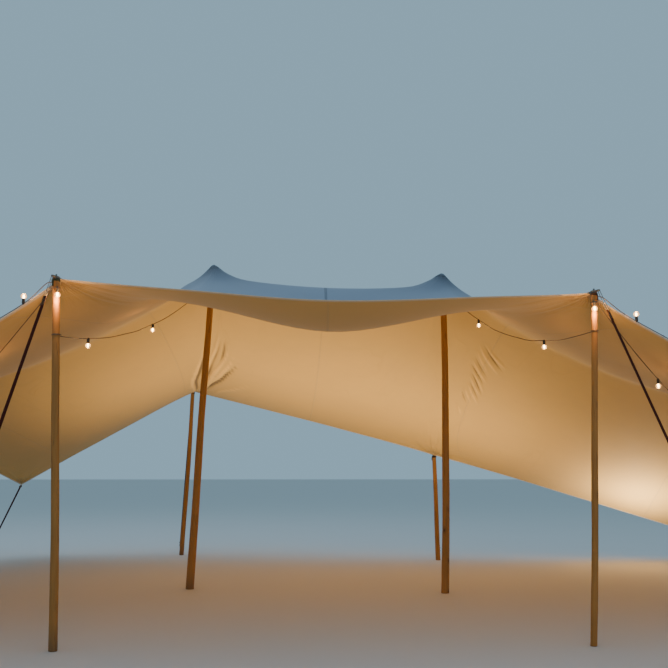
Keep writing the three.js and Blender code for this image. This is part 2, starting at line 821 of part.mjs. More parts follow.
// Cable round the front of a pole, and the lamp that hangs from its free start, clear of the pole
function poleLampGeometries(name, height, lampAngle, heading) {
  const centre = besidePole(name, height, place(0, 0, 0));
  const wrapReach = poleRadius(name, height) + POLE_WRAP_GAP;
  const start = THREE.MathUtils.degToRad(lampAngle);
  const fullTurn = heading.x > 0 ? 0 : Math.PI * 2;
  const sweep = Math.atan2(heading.y, heading.x) - start - fullTurn;
  const points = [];
  for (let step = 0; step <= POLE_WRAP_POINTS; step += 1) {
    const share = step / POLE_WRAP_POINTS;
    const angle = start + sweep * share;
    const radius = wrapReach + (POLE_LAMP_GAP - POLE_WRAP_GAP) * (1 - share) ** 3;
    const spoke = place(Math.cos(angle), Math.sin(angle), 0);
    points.push(centre.clone().addScaledVector(spoke, radius));
  }
  const lamp = lampGeometry(false).translate(points[0].x, points[0].y, points[0].z);
  return [cableGeometry(smoothRoute(points), POLE_WRAP_STEP), lamp];
}

function addLampSwag(name, { from, to, fromDrop, toDrop, hang, firstLamp, lampSpacing, poleLampAngle }) {
  const nearTop = poleAxes[from].top;
  const farTop = poleAxes[to].top;
  const heading = levelDirection(nearTop, farTop);
  const nearPole = besidePole(from, nearTop.z - fromDrop, heading);
  const farPole = besidePole(to, farTop.z - toDrop, heading.clone().negate());
  const nearLead = nearPole.clone().addScaledVector(heading, CABLE_LEAD);
  const farLead = farPole.clone().addScaledVector(heading, -CABLE_LEAD);
  const route = smoothRoute([nearLead, ...hang.map((point) => place(...point)), farLead]);
  const nearTie = new THREE.LineCurve3(nearPole, nearLead.clone().addScaledVector(heading, CABLE_RADIUS));
  const farTie = new THREE.LineCurve3(farLead.clone().addScaledVector(heading, -CABLE_RADIUS), farPole);
  const pieces = [
    cableGeometry(route, CABLE_STEP),
    cableGeometry(nearTie, CABLE_LEAD),
    cableGeometry(farTie, CABLE_LEAD),
    ...lampsAlong(route, firstLamp, lampSpacing, SWAG_END_ROOM, false),
  ];
  if (poleLampAngle !== undefined) {
    pieces.push(...poleLampGeometries(from, nearPole.z, poleLampAngle, heading));
  }
  add(`${name}_lamp_string`, join(...pieces), lampFinish);
}

function addLampRim(name, { from, columnStep, firstLamp }) {
  const { top } = poleAxes[from];
  const outward = place(columnStep, 0, 0);
  const start = besidePole(from, top.z - RIM_CABLE_DROP, outward);
  const [poleColumn] = gridPlace(edgePoles[from].cloth);
  const points = [start, start.clone().addScaledVector(outward, CABLE_LEAD)];
  const lastRimColumn = columnStep > 0 ? lastColumn - RIM_CORNER_COLUMNS - 1 : RIM_CORNER_COLUMNS + 1;
  for (let column = poleColumn + columnStep; column !== lastRimColumn + columnStep; column += columnStep) {
    points.push(clothPoints[gridIndex(column, 0)].clone().add(place(0, -RIM_CABLE_OFFSET, 0)));
  }
  const route = smoothRoute(points);
  const lamps = lampsAlong(route, firstLamp, LAMP_SPACING, RIM_END_ROOM, true);
  add(`${name}_lamp_string`, join(cableGeometry(route, CABLE_STEP), ...lamps), lampFinish);
}

function addCorner(name, { cloth, hold, stake }) {
  const end = strapEnd(hold, stake);
  const direction = end.clone().sub(hold).normalize();
  const frame = frameAlong(hold, direction);
  const tip = rimReach(cloth, frame, PLATE_TIP_HALF_WIDTH, TONGUE_THICKNESS / 2) + PLATE_EDGE_GAP;
  const shape = new THREE.Shape();
  shape.moveTo(tip, -PLATE_TIP_HALF_WIDTH);
  shape.lineTo(TONGUE_LENGTH / 2, -TONGUE_HALF_WIDTH);
  shape.lineTo(TONGUE_LENGTH, -TONGUE_HALF_WIDTH);
  shape.lineTo(TONGUE_LENGTH, TONGUE_HALF_WIDTH);
  shape.lineTo(TONGUE_LENGTH / 2, TONGUE_HALF_WIDTH);
  shape.lineTo(tip, PLATE_TIP_HALF_WIDTH);
  shape.closePath();
  const tongue = slab(shape, TONGUE_THICKNESS).applyMatrix4(frame);
  const strapStart = hold.clone().addScaledVector(direction, TONGUE_LENGTH - TONGUE_LAP);
  add(`${name}_strap`, join(tongue, webbing(strapStart, end), stakeLoop(stake)), webbingFinish);
  addStake(name, stake);
}

add("canopy", canopyGeometry(), clothFinish);
for (const [name, pole] of Object.entries(edgePoles)) {
  addEdgePole(name, pole);
}
for (const [name, pole] of Object.entries(centrePoles)) {
  addCentrePole(name, pole);
}
for (const [name, corner] of Object.entries(corners)) {
  addCorner(name, corner);
}

for (const [name, swag] of Object.entries(lampSwags)) {
  addLampSwag(name, swag);
}
for (const [name, rim] of Object.entries(lampRims)) {
  addLampRim(name, rim);
}

export default tent;
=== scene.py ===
"""Looks of a stretch tent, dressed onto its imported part.

Metres, +Z up. The open front faces -Y, and the origin is on the ground under the middle of the plan.
"""

import math
from contextlib import contextmanager

import bmesh
import bpy
import numpy as np
from mathutils import Matrix, Vector


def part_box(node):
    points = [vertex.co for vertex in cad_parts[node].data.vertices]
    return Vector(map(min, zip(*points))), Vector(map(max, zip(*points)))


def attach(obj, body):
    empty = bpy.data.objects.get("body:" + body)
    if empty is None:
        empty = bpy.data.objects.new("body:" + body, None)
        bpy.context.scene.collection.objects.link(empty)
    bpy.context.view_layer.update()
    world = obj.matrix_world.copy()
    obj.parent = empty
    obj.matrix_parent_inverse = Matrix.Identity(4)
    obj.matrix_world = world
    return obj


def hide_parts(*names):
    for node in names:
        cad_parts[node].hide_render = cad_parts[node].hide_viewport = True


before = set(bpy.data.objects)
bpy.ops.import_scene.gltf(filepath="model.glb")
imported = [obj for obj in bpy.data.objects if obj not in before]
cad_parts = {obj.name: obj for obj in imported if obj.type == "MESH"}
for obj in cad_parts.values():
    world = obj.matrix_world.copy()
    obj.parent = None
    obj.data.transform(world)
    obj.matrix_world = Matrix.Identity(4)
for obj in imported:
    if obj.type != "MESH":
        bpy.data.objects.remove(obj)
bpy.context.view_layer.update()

# The photo's camera: eye height, a little off the tent's axis, turned and tipped up
CAMERA_PLACE = (-0.22, -10.4, 1.42)
CAMERA_TIP_UP = 10.44
CAMERA_TURN_RIGHT = 2.4
CAMERA_LENS = 40.96
CAMERA_SENSOR = 36

# The cloth as it was cut, and where its supports take hold of it
CLOTH_WIDTH = 12.5
CLOTH_DEPTH = 7.5
CORNER_BAND = 1
EDGE_POLE_INSET = 4.35
PEAK_INSET = 5
PEAK_DEPTH = 3.5
PEAK_CAP = 0.05

# Each support of the cloth: its place on the cloth, where it is held, the pole's foot and the guy's stake,
# the pole's radii at foot and top, and how far its middle bends to the right
EDGE_POLES = {
    "front_left": {
        "cloth": (EDGE_POLE_INSET, 0),
        "hold": (-2.38, -3.75, 3.125),
        "foot": (-2.235, -3.75, 0),
        "stake": (-2.71, -5.2, 0),
        "radii": (0.036, 0.032),
        "bend": 0.008,
    },
    "front_right": {
        "cloth": (CLOTH_WIDTH - EDGE_POLE_INSET, 0),
        "hold": (2.39, -3.75, 3.045),
        "foot": (2.241, -3.75, 0),
        "stake": (2.96, -5.2, 0),
        "radii": (0.029, 0.027),
        "bend": 0.011,
    },
    "side_left": {
        "cloth": (0, PEAK_DEPTH),
        "hold": (-6.6, -0.2, 2.5),
        "foot": (-6.44, -0.2, 0),
        "stake": (-8.1, -0.2, 0),
        "radii": (0.035, 0.032),
        "bend": -0.004,
    },
    "side_right": {
        "cloth": (CLOTH_WIDTH, PEAK_DEPTH),
        "hold": (6.6, -0.6, 2.5),
        "foot": (6.44, -0.6, 0),
        "stake": (8.1, -0.6, 0),
        "radii": (0.035, 0.032),
        "bend": 0.005,
    },
    "rear_left": {
        "cloth": (EDGE_POLE_INSET, CLOTH_DEPTH),
        "hold": (-2.24, 3.74, 2.93),
        "foot": (-2.35, 3.74, 0),
        "stake": (-2.6, 5.2, 0),
        "radii": (0.04, 0.035),
        "bend": 0.012,
    },
    "rear_right": {
        "cloth": (CLOTH_WIDTH - EDGE_POLE_INSET, CLOTH_DEPTH),
        "hold": (2.05, 2.75, 1.74),
        "foot": (2.08, 2.75, 0),
        "stake": (2.3, 3.85, 0),
        "radii": (0.04, 0.035),
        "bend": 0.0,
    },
}
CENTRE_POLES = {
    "centre_left": {
        "cloth": (PEAK_INSET, PEAK_DEPTH),
        "hold": (-1.44, -0.37, 4.21),
        "foot": (-1.612, -0.37, 0),
        "radii": (0.052, 0.038),
        "bend": -0.006,
    },
    "centre_right": {
        "cloth": (CLOTH_WIDTH - PEAK_INSET, PEAK_DEPTH),
        "hold": (1.6, -0.83, 4.0),
        "foot": (1.53, -0.83, 0),
        "radii": (0.048, 0.038),
        "bend": 0.026,
    },
}
CORNERS = {
    "front_left_corner": {"cloth": (0, 0), "hold": (-6.5, -4.5, 0.25), "stake": (-7.1, -4.9, 0)},
    "front_right_corner": {"cloth": (CLOTH_WIDTH, 0), "hold": (7.2, -4.4, 0.25), "stake": (7.8, -4.8, 0)},
    "rear_left_corner": {"cloth": (0, CLOTH_DEPTH), "hold": (-5.2, 3.6, 1.23), "stake": (-6.2, 5.0, 0)},
    "rear_right_corner": {
        "cloth": (CLOTH_WIDTH, CLOTH_DEPTH),
        "hold": (7.0, 2.6, 0.25),
        "stake": (7.6, 3.05, 0),
    },
}

# How hard the cloth and its edges are stretched, each against the plain cloth's own pull
FRONT_EDGE_PULL = 11
REAR_EDGE_PULL = 33
SIDE_EDGE_PULL = 21
CLOTH_WEIGHT = 0.17
PEAK_PULL = 10
PEAK_PULL_RADIUS = 0.5
BAND_RADIUS = 0.42
CAP_REACH = 0.056
CAP_DROP = 0.014
BELLY_PLACE = (CLOTH_WIDTH / 2, 1.42)
BELLY_LOAD = 2.6
BELLY_RADIUS = 0.92

# Bands of cloth between supports that carry more than the rest: both ends, then the extra pull
PULL_BANDS = [
    (CENTRE_POLES["centre_left"], CENTRE_POLES["centre_right"], 1.8),
    (CENTRE_POLES["centre_left"], EDGE_POLES["front_left"], 5),
    (CENTRE_POLES["centre_right"], EDGE_POLES["front_right"], 5),
    (CENTRE_POLES["centre_left"], EDGE_POLES["rear_left"], 6),
    (CENTRE_POLES["centre_right"], EDGE_POLES["rear_right"], 6),
    (CENTRE_POLES["centre_left"], EDGE_POLES["side_left"], 5),
    (CENTRE_POLES["centre_right"], EDGE_POLES["side_right"], 5),
]

# The net that the cloth's shape is worked out on: stops across and deep, and even steps between them
COLUMN_STOPS = (
    0,
    CORNER_BAND,
    EDGE_POLE_INSET,
    PEAK_INSET - PEAK_CAP,
    PEAK_INSET,
    PEAK_INSET + PEAK_CAP,
    CLOTH_WIDTH / 2,
    CLOTH_WIDTH - PEAK_INSET - PEAK_CAP,
    CLOTH_WIDTH - PEAK_INSET,
    CLOTH_WIDTH - PEAK_INSET + PEAK_CAP,
    CLOTH_WIDTH - EDGE_POLE_INSET,
    CLOTH_WIDTH - CORNER_BAND,
    CLOTH_WIDTH,
)
COLUMN_COUNTS = (3, 10, 3, 1, 1, 6, 6, 1, 1, 3, 10, 3)
ROW_STOPS = (0, PEAK_DEPTH - PEAK_CAP, PEAK_DEPTH, PEAK_DEPTH + PEAK_CAP, CLOTH_DEPTH)
ROW_COUNTS = (13, 1, 1, 14)

# The cloth that is seen: its finest and coarsest steps, its thickness and its folded hem
FINE_COLUMN_STOPS = (
    EDGE_POLE_INSET,
    PEAK_INSET,
    CLOTH_WIDTH - PEAK_INSET,
    CLOTH_WIDTH - EDGE_POLE_INSET,
    8.7,
    8.82,
)
FINE_ROW_STOPS = (PEAK_DEPTH, 4.6, 4.9, 5.2, 5.45)
FINEST_STEP = 0.014
COARSEST_STEP = 0.11
STEP_GROWTH = 0.09
CLOTH_HALF = 0.001
HEM_STEPS = (0, 0.004, 0.03, 0.036)
HEM_HALVES = (0.0022, 0.004, 0.0034, CLOTH_HALF)
HEM_WIDTH = 0.03
PANEL_WIDTH = 2.5
FIRST_SEAM = 1.25
SEAM_HALF = 0.008
PATCH_RADIUS = 0.3
INNER_PATCH_RADIUS = 0.16
PATCH_EDGE = 0.002
CAP_PATCH_RADIUS = 0.075
# Painted shade on the outer side round each peak: how much of the dark colour at most, and the reaches where
# it starts to fade and where it is gone
CAP_SHADE = 0.58
CAP_SHADE_REACHES = (0.25, 1.25)

# Stitches: half a thread's width, where its rows lie, and how many stitches there are in a metre
THREAD_HALF = 0.0008
SEAM_THREAD = 0.005
PATCH_THREADS = (PATCH_RADIUS - 0.01, PATCH_RADIUS - 0.018, 0.15, 0.142)
HEM_THREADS = (0.0245, 0.0085)
CLOTH_STITCHES = 140
HEM_STITCHES = 120

# The cloth round its supports. The way round a peak is kept this much higher than round other supports, so
# that the finish knows the peaks
PEAK_ANGLE = 200
KINK_REACH = 0.25
PEAK_CAP_REACH = 0.7
PEAK_OPENING = 0.034
PEAK_OPENING_REACH = 0.24
PEAK_TIP = 0.02
PEAK_NECK = 0.12
PEAK_NECK_REACH = 0.15
PEAK_CONE_REACH = 0.26
PEAK_RING = (0.3, 0.42)

# The cloth's shoulders beside its peaks: away from the ridge or towards it, how high, how far out, and
# their reach
SHOULDERS = ((1, 0.055, 0.38, 0.17), (-1, 0.037, 0.19, 0.14))

# How the pitched cloth departs from the balanced net: for each dip, its place on the cloth, its half width
# and half depth there, and how far it hangs lower
DIPS = [
    ((6.25, 0.0), (0.95, 1.1), 0.052),
    ((5.25, 1.45), (0.6, 0.85), -0.13),
    ((7.2, 1.45), (0.5, 0.85), -0.12),
    ((6.25, 1.5), (0.32, 0.8), 0.025),
]
RIDGE_DIP = 0.058
RIDGE_END = 0.35
RIDGE_REACH = 1.2

# Folds that the supports draw in the cloth, in metres: short fans of them at each edge support, long low
# swells and ripples, and single drawn folds
FAN_FOLD = 0.005
FAN_RAYS = ((9, 0.5), (15, 0.8), (22, 0.5))
FAN_RISE = 0.16
FAN_REACH = 0.34
SWELL = 0.004
RIPPLE = 0.35 * SWELL
SWELL_REACH = 0.5
FOLD_STEP = 0.03

# Each drawn fold has its route on the cloth, its half width and how far it hangs below the cloth, or with a
# minus stands over it. From below, hanging crests are lit.
GATHER_FOLDS = [
    (
        [(4.3, 7.34), (4.02, 6.8), (3.91, 6.34), (4.01, 5.88), (4.1, 5.66), (4.2, 5.45), (4.32, 5.0)],
        0.034,
        0.03,
    ),
    (
        [(4.33, 7.3), (4.1, 6.78), (3.99, 6.33), (4.09, 5.97), (4.19, 5.66), (4.29, 5.35), (4.4, 5.0)],
        0.032,
        -0.028,
    ),
    ([(4.4, 7.3), (4.3, 6.6), (4.38, 6.1), (4.5, 5.7), (4.62, 5.3)], 0.03, 0.014),
    (
        [(4.42, 7.34), (4.4, 6.6), (4.48, 6.1), (4.69, 5.83), (4.85, 5.63), (5.0, 5.43), (5.16, 5.0)],
        0.038,
        0.034,
    ),
    (
        [(4.46, 7.34), (4.52, 6.7), (4.62, 6.2), (4.81, 5.83), (4.98, 5.62), (5.09, 5.43), (5.2, 5.1)],
        0.034,
        -0.03,
    ),
    ([(4.86, 6.2), (5.06, 5.98), (5.19, 5.74), (5.25, 5.45), (5.3, 5.1)], 0.026, -0.02),
    (
        [(4.52, 7.34), (4.64, 6.8), (4.82, 6.38), (5.02, 6.11), (5.19, 5.81), (5.28, 5.6), (5.36, 5.2)],
        0.034,
        0.03,
    ),
    (
        [(4.56, 7.36), (4.64, 6.95), (4.8, 6.62), (5.1, 6.33), (5.21, 6.1), (5.31, 5.88), (5.42, 5.5)],
        0.034,
        0.03,
    ),
    (
        [(4.6, 7.36), (4.7, 6.99), (4.91, 6.72), (5.12, 6.46), (5.25, 6.2), (5.36, 5.98), (5.46, 5.7)],
        0.034,
        -0.03,
    ),
    ([(4.8, 7.34), (5.05, 7.0), (5.35, 6.7), (5.6, 6.3)], 0.04, 0.016),
]
PUCKER_FOLDS = [
    ([(8.66, 4.4), (8.75, 4.51), (8.84, 4.58), (8.98, 4.68)], 0.02, 0.021),
    ([(8.63, 4.4), (8.7, 4.5), (8.78, 4.59), (8.98, 4.78)], 0.016, -0.0195),
    ([(8.58, 4.42), (8.68, 4.56), (8.8, 4.7), (8.96, 4.86)], 0.018, 0.021),
    ([(8.6, 4.54), (8.7, 4.7), (8.84, 4.9)], 0.018, 0.0165),
    ([(8.6, 4.64), (8.7, 4.8), (8.86, 5.0)], 0.015, -0.0135),
    ([(8.6, 4.72), (8.71, 4.88), (8.86, 5.08)], 0.018, 0.021),
    ([(8.6, 4.8), (8.71, 4.96), (8.84, 5.14)], 0.015, -0.0195),
    ([(8.63, 4.88), (8.75, 5.06), (8.88, 5.32)], 0.017, 0.021),
    ([(8.64, 4.95), (8.74, 5.12), (8.86, 5.36)], 0.014, -0.018),
    ([(8.64, 5.01), (8.73, 5.18), (8.86, 5.4)], 0.016, 0.021),
    ([(8.66, 5.12), (8.75, 5.3), (8.86, 5.5)], 0.014, -0.015),
    ([(8.66, 5.2), (8.76, 5.38), (8.86, 5.58)], 0.017, 0.021),
    ([(8.65, 5.3), (8.73, 5.48), (8.79, 5.6)], 0.017, 0.0165),
    ([(8.62, 5.36), (8.69, 5.54), (8.75, 5.66)], 0.014, -0.012),
    ([(8.64, 5.7), (8.69, 5.84), (8.73, 5.98)], 0.016, 0.0135),
]

# Painted highlight on the drawn folds' crests and painted shade in their troughs: how much lighter and
# how much darker they make the tone, and the heights where that starts and where it is full
FOLD_PAINTED_HIGHLIGHT = 0.34
FOLD_PAINTED_SHADE = 0.68
FOLD_FAINT = 0.001
FOLD_FULL = 0.018

# Pleats gathered under each support, bumped and with painted highlight and shade in the tone: how many,
# and how far out they start and fade
PLEATS = 42
PLEATS_START = (0.02, 0.06)
PLEATS_END = (0.14, 0.27)

# Poles, pins, plates, links, webbing and stakes, as in the part
POLE_SIDES = 32
POLE_RING_STEP = 0.035
POLE_WANDER = 0.004
POLE_SWELL = 0.012
POLE_ROUNDING = 0.005
BARK_MARGIN = 0.03
BARK_WAVES = ((0.3, 0.004), (0.07, 0.0018))
PIN_REACH = 0.06
PIN_LENGTH = 0.0335
PIN_OVER_PLATE = 0.022
PIN_GAP = 0.0003
PIN_GROOVE_HEIGHT = 0.027
PIN_GROOVE_ROD = 0.0014
PIN_RADIUS = 0.0085
PIN_DISC_RADIUS = 0.026
PIN_DISC_THICKNESS = 0.008
PLATE_THICKNESS = 0.012
PLATE_RING_RADIUS = 0.03
PLATE_LUG_RADIUS = 0.014
PLATE_NECK_HALF = 0.0138
PLATE_TIP_HALF = 0.024
PLATE_TIP_NARROWING = 0.25
HOLE_RADIUS = PIN_RADIUS + 0.0006
EYE_RADIUS = 0.0062
COLLAR_RADIUS = PIN_RADIUS + 0.0045
COLLAR_ROD = 0.0024
LUG_REACH = 0.118
LINK_LENGTH = 0.23
LINK_ROD = 0.0032
LINK_HALF_WIDTH = 0.011
WEBBING_WIDTH = 0.03
WEBBING_THICKNESS = 0.0036
WEBBING_SINK = 0.0004
WEBBING_STEP = 0.06
DOUBLED_LENGTH = 0.1
DOUBLED_TOP = WEBBING_THICKNESS * 1.35
ROLL_RADIUS = 0.0066
ROLL_HEIGHT = 0.0006
TONGUE_LENGTH = 0.07
TONGUE_HALF_WIDTH = 0.022
TONGUE_HALF = 0.004
TONGUE_NARROWING = 0.28
TONGUE_OVERLAP = 0.012
STAKE_RADIUS = 0.012
STAKE_HEIGHT = 0.09
STAKE_HEAD = ((0.0005, 1.8), (0.003, 1.1), (0.005, 1), (0.0025, 0.86))
LOOP_HEIGHT = 0.044
LOOP_MIDDLE_RADIUS = 0.0188
LOOP_ROD = 0.0056
LOOP_FLATNESS = 0.68
STRAP_END_FROM_STAKE = 0.02
PAD_OUTLINE = (
    (0.0405, -0.036),
    (0.036, -0.0268),
    (0.0262, -0.0172),
    (0.0152, -0.0072),
    (0.0064, -0.0014),
    (0.0022, 0.0),
)
PAD_RADIUS = 0.0415
PAD_DEPTH = 0.052
PAD_RIB_ROD = 0.0018
PAD_RIB_HEIGHTS = (-0.0385, -0.044, -0.0495)
TAIL_WIDTH = 0.03
TAIL_START = 0.006
TAIL_LENGTH = 0.1
TAIL_STEPS = 26
TAIL_ACROSS = (-1, -0.85, -0.4, 0, 0.4, 0.85, 1)
TAIL_WIDENING = 0.05
TAIL_THICKNESS = 0.0016
TAIL_SINK = 0.0006
TAIL_TURNS = (-62, 0, 62)

# The webbing's pattern: its bound edges, its box and zigzag stitching at an end, and where it is plain again
BOUND_EDGE = (0.0105, 0.0125)
SEWN_START = (0.006, 0.01)
SEWN_END = (0.085, 0.09)
BOX_ROW = 0.0088
ZIGZAGS = 55
ZIGZAG_HALF = 0.009
PLAIN_FROM = 0.1
PLAIN_WEBBING = 0.3

# Webbing wound round a pole's top: each turn's drop below the top, its tip sideways and its size. Then the
# turns' width, half thickness and puckers, and the free end that hangs
BINDING_TURNS = (
    (0.0105, 7, 1.0),
    (0.0135, -9, 1.045),
    (0.0115, 3, 1.09),
)
BINDING_WIDTH = 0.017
BINDING_HALF = 0.0011
BINDING_PUCKER = 0.0016
BINDING_END = 0.062
BINDING_END_CUTS = 9
BINDING_END_OUT = 1.09
BINDING_END_DROP = 0.012

# Lamp cables, their ties and clips, and the lamps on them
CABLE_DIAMETER = 0.008
CABLE_LEAD = 0.03
CABLE_STEP = 0.06
LAMP_SPACING = 1.25
SWAG_END_ROOM = 0.55
RIM_END_ROOM = 0.1
RIM_CABLE_DROP = 0.032
RIM_CABLE_OFFSET = 0.026
RIM_CABLE_STEP = 0.03
RIM_CABLE_GAP = 0.0045
CLIP_RADIUS = 0.0165
CLIP_ROD = 0.0016
CLIP_SHIFT = 0.002
POLE_WRAP_GAP = 0.007
POLE_WRAP_STEPS = 12
POLE_WRAP_STEP = 0.008
POLE_LAMP_GAP = 0.036
TIE_GAP = 0.0026
TIE_TURNS = 3
TIE_STEPS = 30
TIE_ROD = 0.0024
TIE_PITCH = 1.9 * TIE_ROD
TIE_END_OUT = 0.012
TIE_END_DROP = 0.008
HOLDER_RADIUS = 0.014
HOLDER_LENGTH = 0.046
HOLDER_SHOULDER = 0.006
HOLDER_RIBS = (-0.014, -0.022, -0.03, -0.038)
BULB_RADIUS = 0.0248
BULB_CENTRE = 0.0667
FILAMENT_RADIUS = 0.0085
FILAMENT_CENTRE = BULB_CENTRE - 0.002
LAMP_LIGHT_DROP = 0.11
POLE_LIGHT_DROP = 0.1
LAMP_LIGHT_RADIUS = 0.03

# Free swags of lamp cable from pole to pole: the cable's points from its first tie to its last, its whole
# length, how far along it the first lamp hangs, how far apart its lamps are, and where a lamp hangs at the
# swag's first pole
SWAGS = {
    "left_inner": {
        "from": "front_left",
        "to": "centre_left",
        "length": 3.78,
        "first_lamp": 0.47,
        "lamp_spacing": 1.38,
        "points": [
            (-2.359, -3.7672, 2.6104), (-2.351, -3.7383, 2.6104), (-2.28, -3.46, 2.64),
            (-2.2, -3.19, 2.69), (-2.13, -2.91, 2.75), (-2.06, -2.64, 2.83), (-1.98, -2.36, 2.92),
            (-1.91, -2.09, 3.03), (-1.83, -1.81, 3.15), (-1.76, -1.54, 3.28), (-1.69, -1.26, 3.43),
            (-1.61, -0.99, 3.59), (-1.54, -0.71, 3.77), (-1.4663, -0.4366, 3.963),
            (-1.4583, -0.4077, 3.963),
        ],
    },
    "right_inner": {
        "from": "front_right",
        "to": "centre_right",
        "length": 3.27,
        "first_lamp": 0.75,
        "lamp_spacing": 1.42,
        "points": [
            (2.3849, -3.7727, 2.6804), (2.377, -3.7437, 2.6804), (2.31, -3.51, 2.68), (2.25, -3.27, 2.69),
            (2.19, -3.03, 2.73), (2.12, -2.79, 2.77), (2.06, -2.56, 2.84), (2.0, -2.32, 2.92),
            (1.93, -2.08, 3.02), (1.87, -1.85, 3.14), (1.81, -1.61, 3.27), (1.74, -1.37, 3.42),
            (1.68, -1.13, 3.58), (1.6149, -0.8965, 3.763), (1.607, -0.8675, 3.763),
        ],
    },
    "left_outer": {
        "from": "front_left",
        "to": "side_left",
        "length": 5.89,
        "first_lamp": 1.0,
        "lamp_spacing": LAMP_SPACING,
        "pole_lamp_angle": -60,
        "points": [
            (-2.4136, -3.7858, 3.0204), (-2.4365, -3.7664, 3.0204), (-2.81, -3.47, 2.71),
            (-3.16, -3.18, 2.44), (-3.5, -2.89, 2.22), (-3.85, -2.59, 2.05), (-4.19, -2.3, 1.93),
            (-4.54, -2.0, 1.85), (-4.88, -1.71, 1.83), (-5.22, -1.42, 1.85), (-5.57, -1.12, 1.91),
            (-5.91, -0.83, 2.03), (-6.26, -0.54, 2.19), (-6.6052, -0.2404, 2.4054),
            (-6.6281, -0.221, 2.4054),
        ],
    },
    "right_outer": {
        "from": "front_right",
        "to": "side_right",
        "length": 5.64,
        "first_lamp": 1.15,
        "lamp_spacing": LAMP_SPACING,
        "pole_lamp_angle": -110,
        "points": [
            (2.4288, -3.7876, 2.9404), (2.4528, -3.7695, 2.9404), (2.82, -3.5, 2.63), (3.17, -3.24, 2.37),
            (3.51, -2.98, 2.16), (3.85, -2.72, 2.0), (4.2, -2.46, 1.88), (4.54, -2.2, 1.81),
            (4.88, -1.94, 1.79), (5.23, -1.68, 1.82), (5.57, -1.42, 1.89), (5.91, -1.16, 2.02),
            (6.26, -0.9, 2.19), (6.603, -0.6377, 2.4054), (6.6269, -0.6196, 2.4054),
        ],
    },
}
RIMS = {
    "left_rim": {"from": "front_left", "turn": -1, "end": CORNER_BAND, "first_lamp": 0.33},
    "right_rim": {"from": "front_right", "turn": 1, "end": CLOTH_WIDTH - CORNER_BAND, "first_lamp": 0.44},
}

# Colours, in linear light
SAND_UNDER = (0.57, 0.35, 0.095, 1)
# The outer side's blue-grey is partly the knit's greyer coating and partly painted dusk skylight
OUTER_GREY_AND_PAINTED_DUSK = (0.245, 0.29, 0.375, 1)
HEM_CREAM = (0.66, 0.54, 0.38, 1)
THREAD = (0.6, 0.42, 0.2, 1)
THREAD_OUTER = (0.09, 0.1, 0.12, 1)
THREAD_HEM = (0.3, 0.22, 0.14, 1)
SEAM_OUTER = (0.09, 0.115, 0.15, 1)
CAP_DARK = (0.05, 0.06, 0.08, 1)
SOIL_SPLASH = (0.2, 0.14, 0.085, 1)
SOIL_BROWN = (0.1, 0.07, 0.045, 1)
DUST_PALE = (0.2, 0.17, 0.13, 1)
TIMBER_LIGHT = (0.41, 0.185, 0.04, 1)
TIMBER_DARK = (0.125, 0.052, 0.011, 1)
KNOT_BROWN = (0.07, 0.028, 0.012, 1)
GALVANISED = (0.2, 0.185, 0.165, 1)
RUST = (0.16, 0.07, 0.03, 1)
WEBBING_MAROON = (0.055, 0.007, 0.003, 1)
WEBBING_GREEN = (0.035, 0.045, 0.028, 1)
WEBBING_BROWN = (0.06, 0.034, 0.022, 1)
WEBBING_SAND = (0.5, 0.34, 0.16, 1)
RUBBER_BLACK = (0.022, 0.021, 0.02, 1)
CABLE_BRONZE = (0.11, 0.068, 0.035, 1)
BULB_WARM = (1, 0.86, 0.62, 1)
FILAMENT_ORANGE = (1, 0.62, 0.26, 1)
FILAMENT_PALE = (1, 0.8, 0.5, 1)
LAMP_GLOW = (1, 0.5, 0.16, 1)
FLOOR_PALE = (0.62, 0.61, 0.6, 1)
EVENING_BLUE = (0.5, 0.79, 1, 1)

# Light: how strongly the lamps shine, the evening round them, and for each of the studio's lights its name,
# its place, what it points at, its size, power and colour, and its spread in degrees
BULB_SHINE = 0.9
FILAMENT_SHINE = 28
LAMP_POWER = 2.3
POLE_LAMP_POWER = 4.5
POLE_LIGHT_REACH = 0.06
EVENING_STRENGTH = 0.54
STUDIO_LIGHTS = (
    ("inside", (0, 1.3, 0.03), (0, 1.6, 4), (6, 2.4), 165, (1, 0.77, 0.5), 115),
    ("right", (4.7, 1.6, 0.03), (4.7, 1.6, 4), (1.6, 1.6), 16, (1, 0.8, 0.56), 150),
    ("low right", (5.0, 1.5, 0.25), (5.22, 1.73, 1.13), (0.5, 0.5), 36, (1, 0.88, 0.78), 150),
    ("front", (1.2, -9, 0.4), (0.3, -3.5, 2.2), (5, 1), 26, (1, 0.6, 0.25), 100),
    ("sky", (-4, 3, 16), (0, 0, 0), (14, 14), 600, (0.8, 0.9, 1), 180),
)


class Wire:
    """An output socket that is worked with as a number."""

    def __init__(self, finish, socket):
        self.finish = finish
        self.socket = socket

    def math(self, operation, *others):
        return self.finish.node("ShaderNodeMath", {"operation": operation}, dict(enumerate((self, *others))))

    def __add__(self, other):
        return self.math("ADD", other)

    def __radd__(self, other):
        return self + other

    def __sub__(self, other):
        return self.math("SUBTRACT", other)

    def __rsub__(self, other):
        return self * -1 + other

    def __mul__(self, other):
        return self.math("MULTIPLY", other)

    def __rmul__(self, other):
        return self * other

    def __truediv__(self, other):
        return self.math("DIVIDE", other)

    def __abs__(self):
        return self.math("ABSOLUTE")


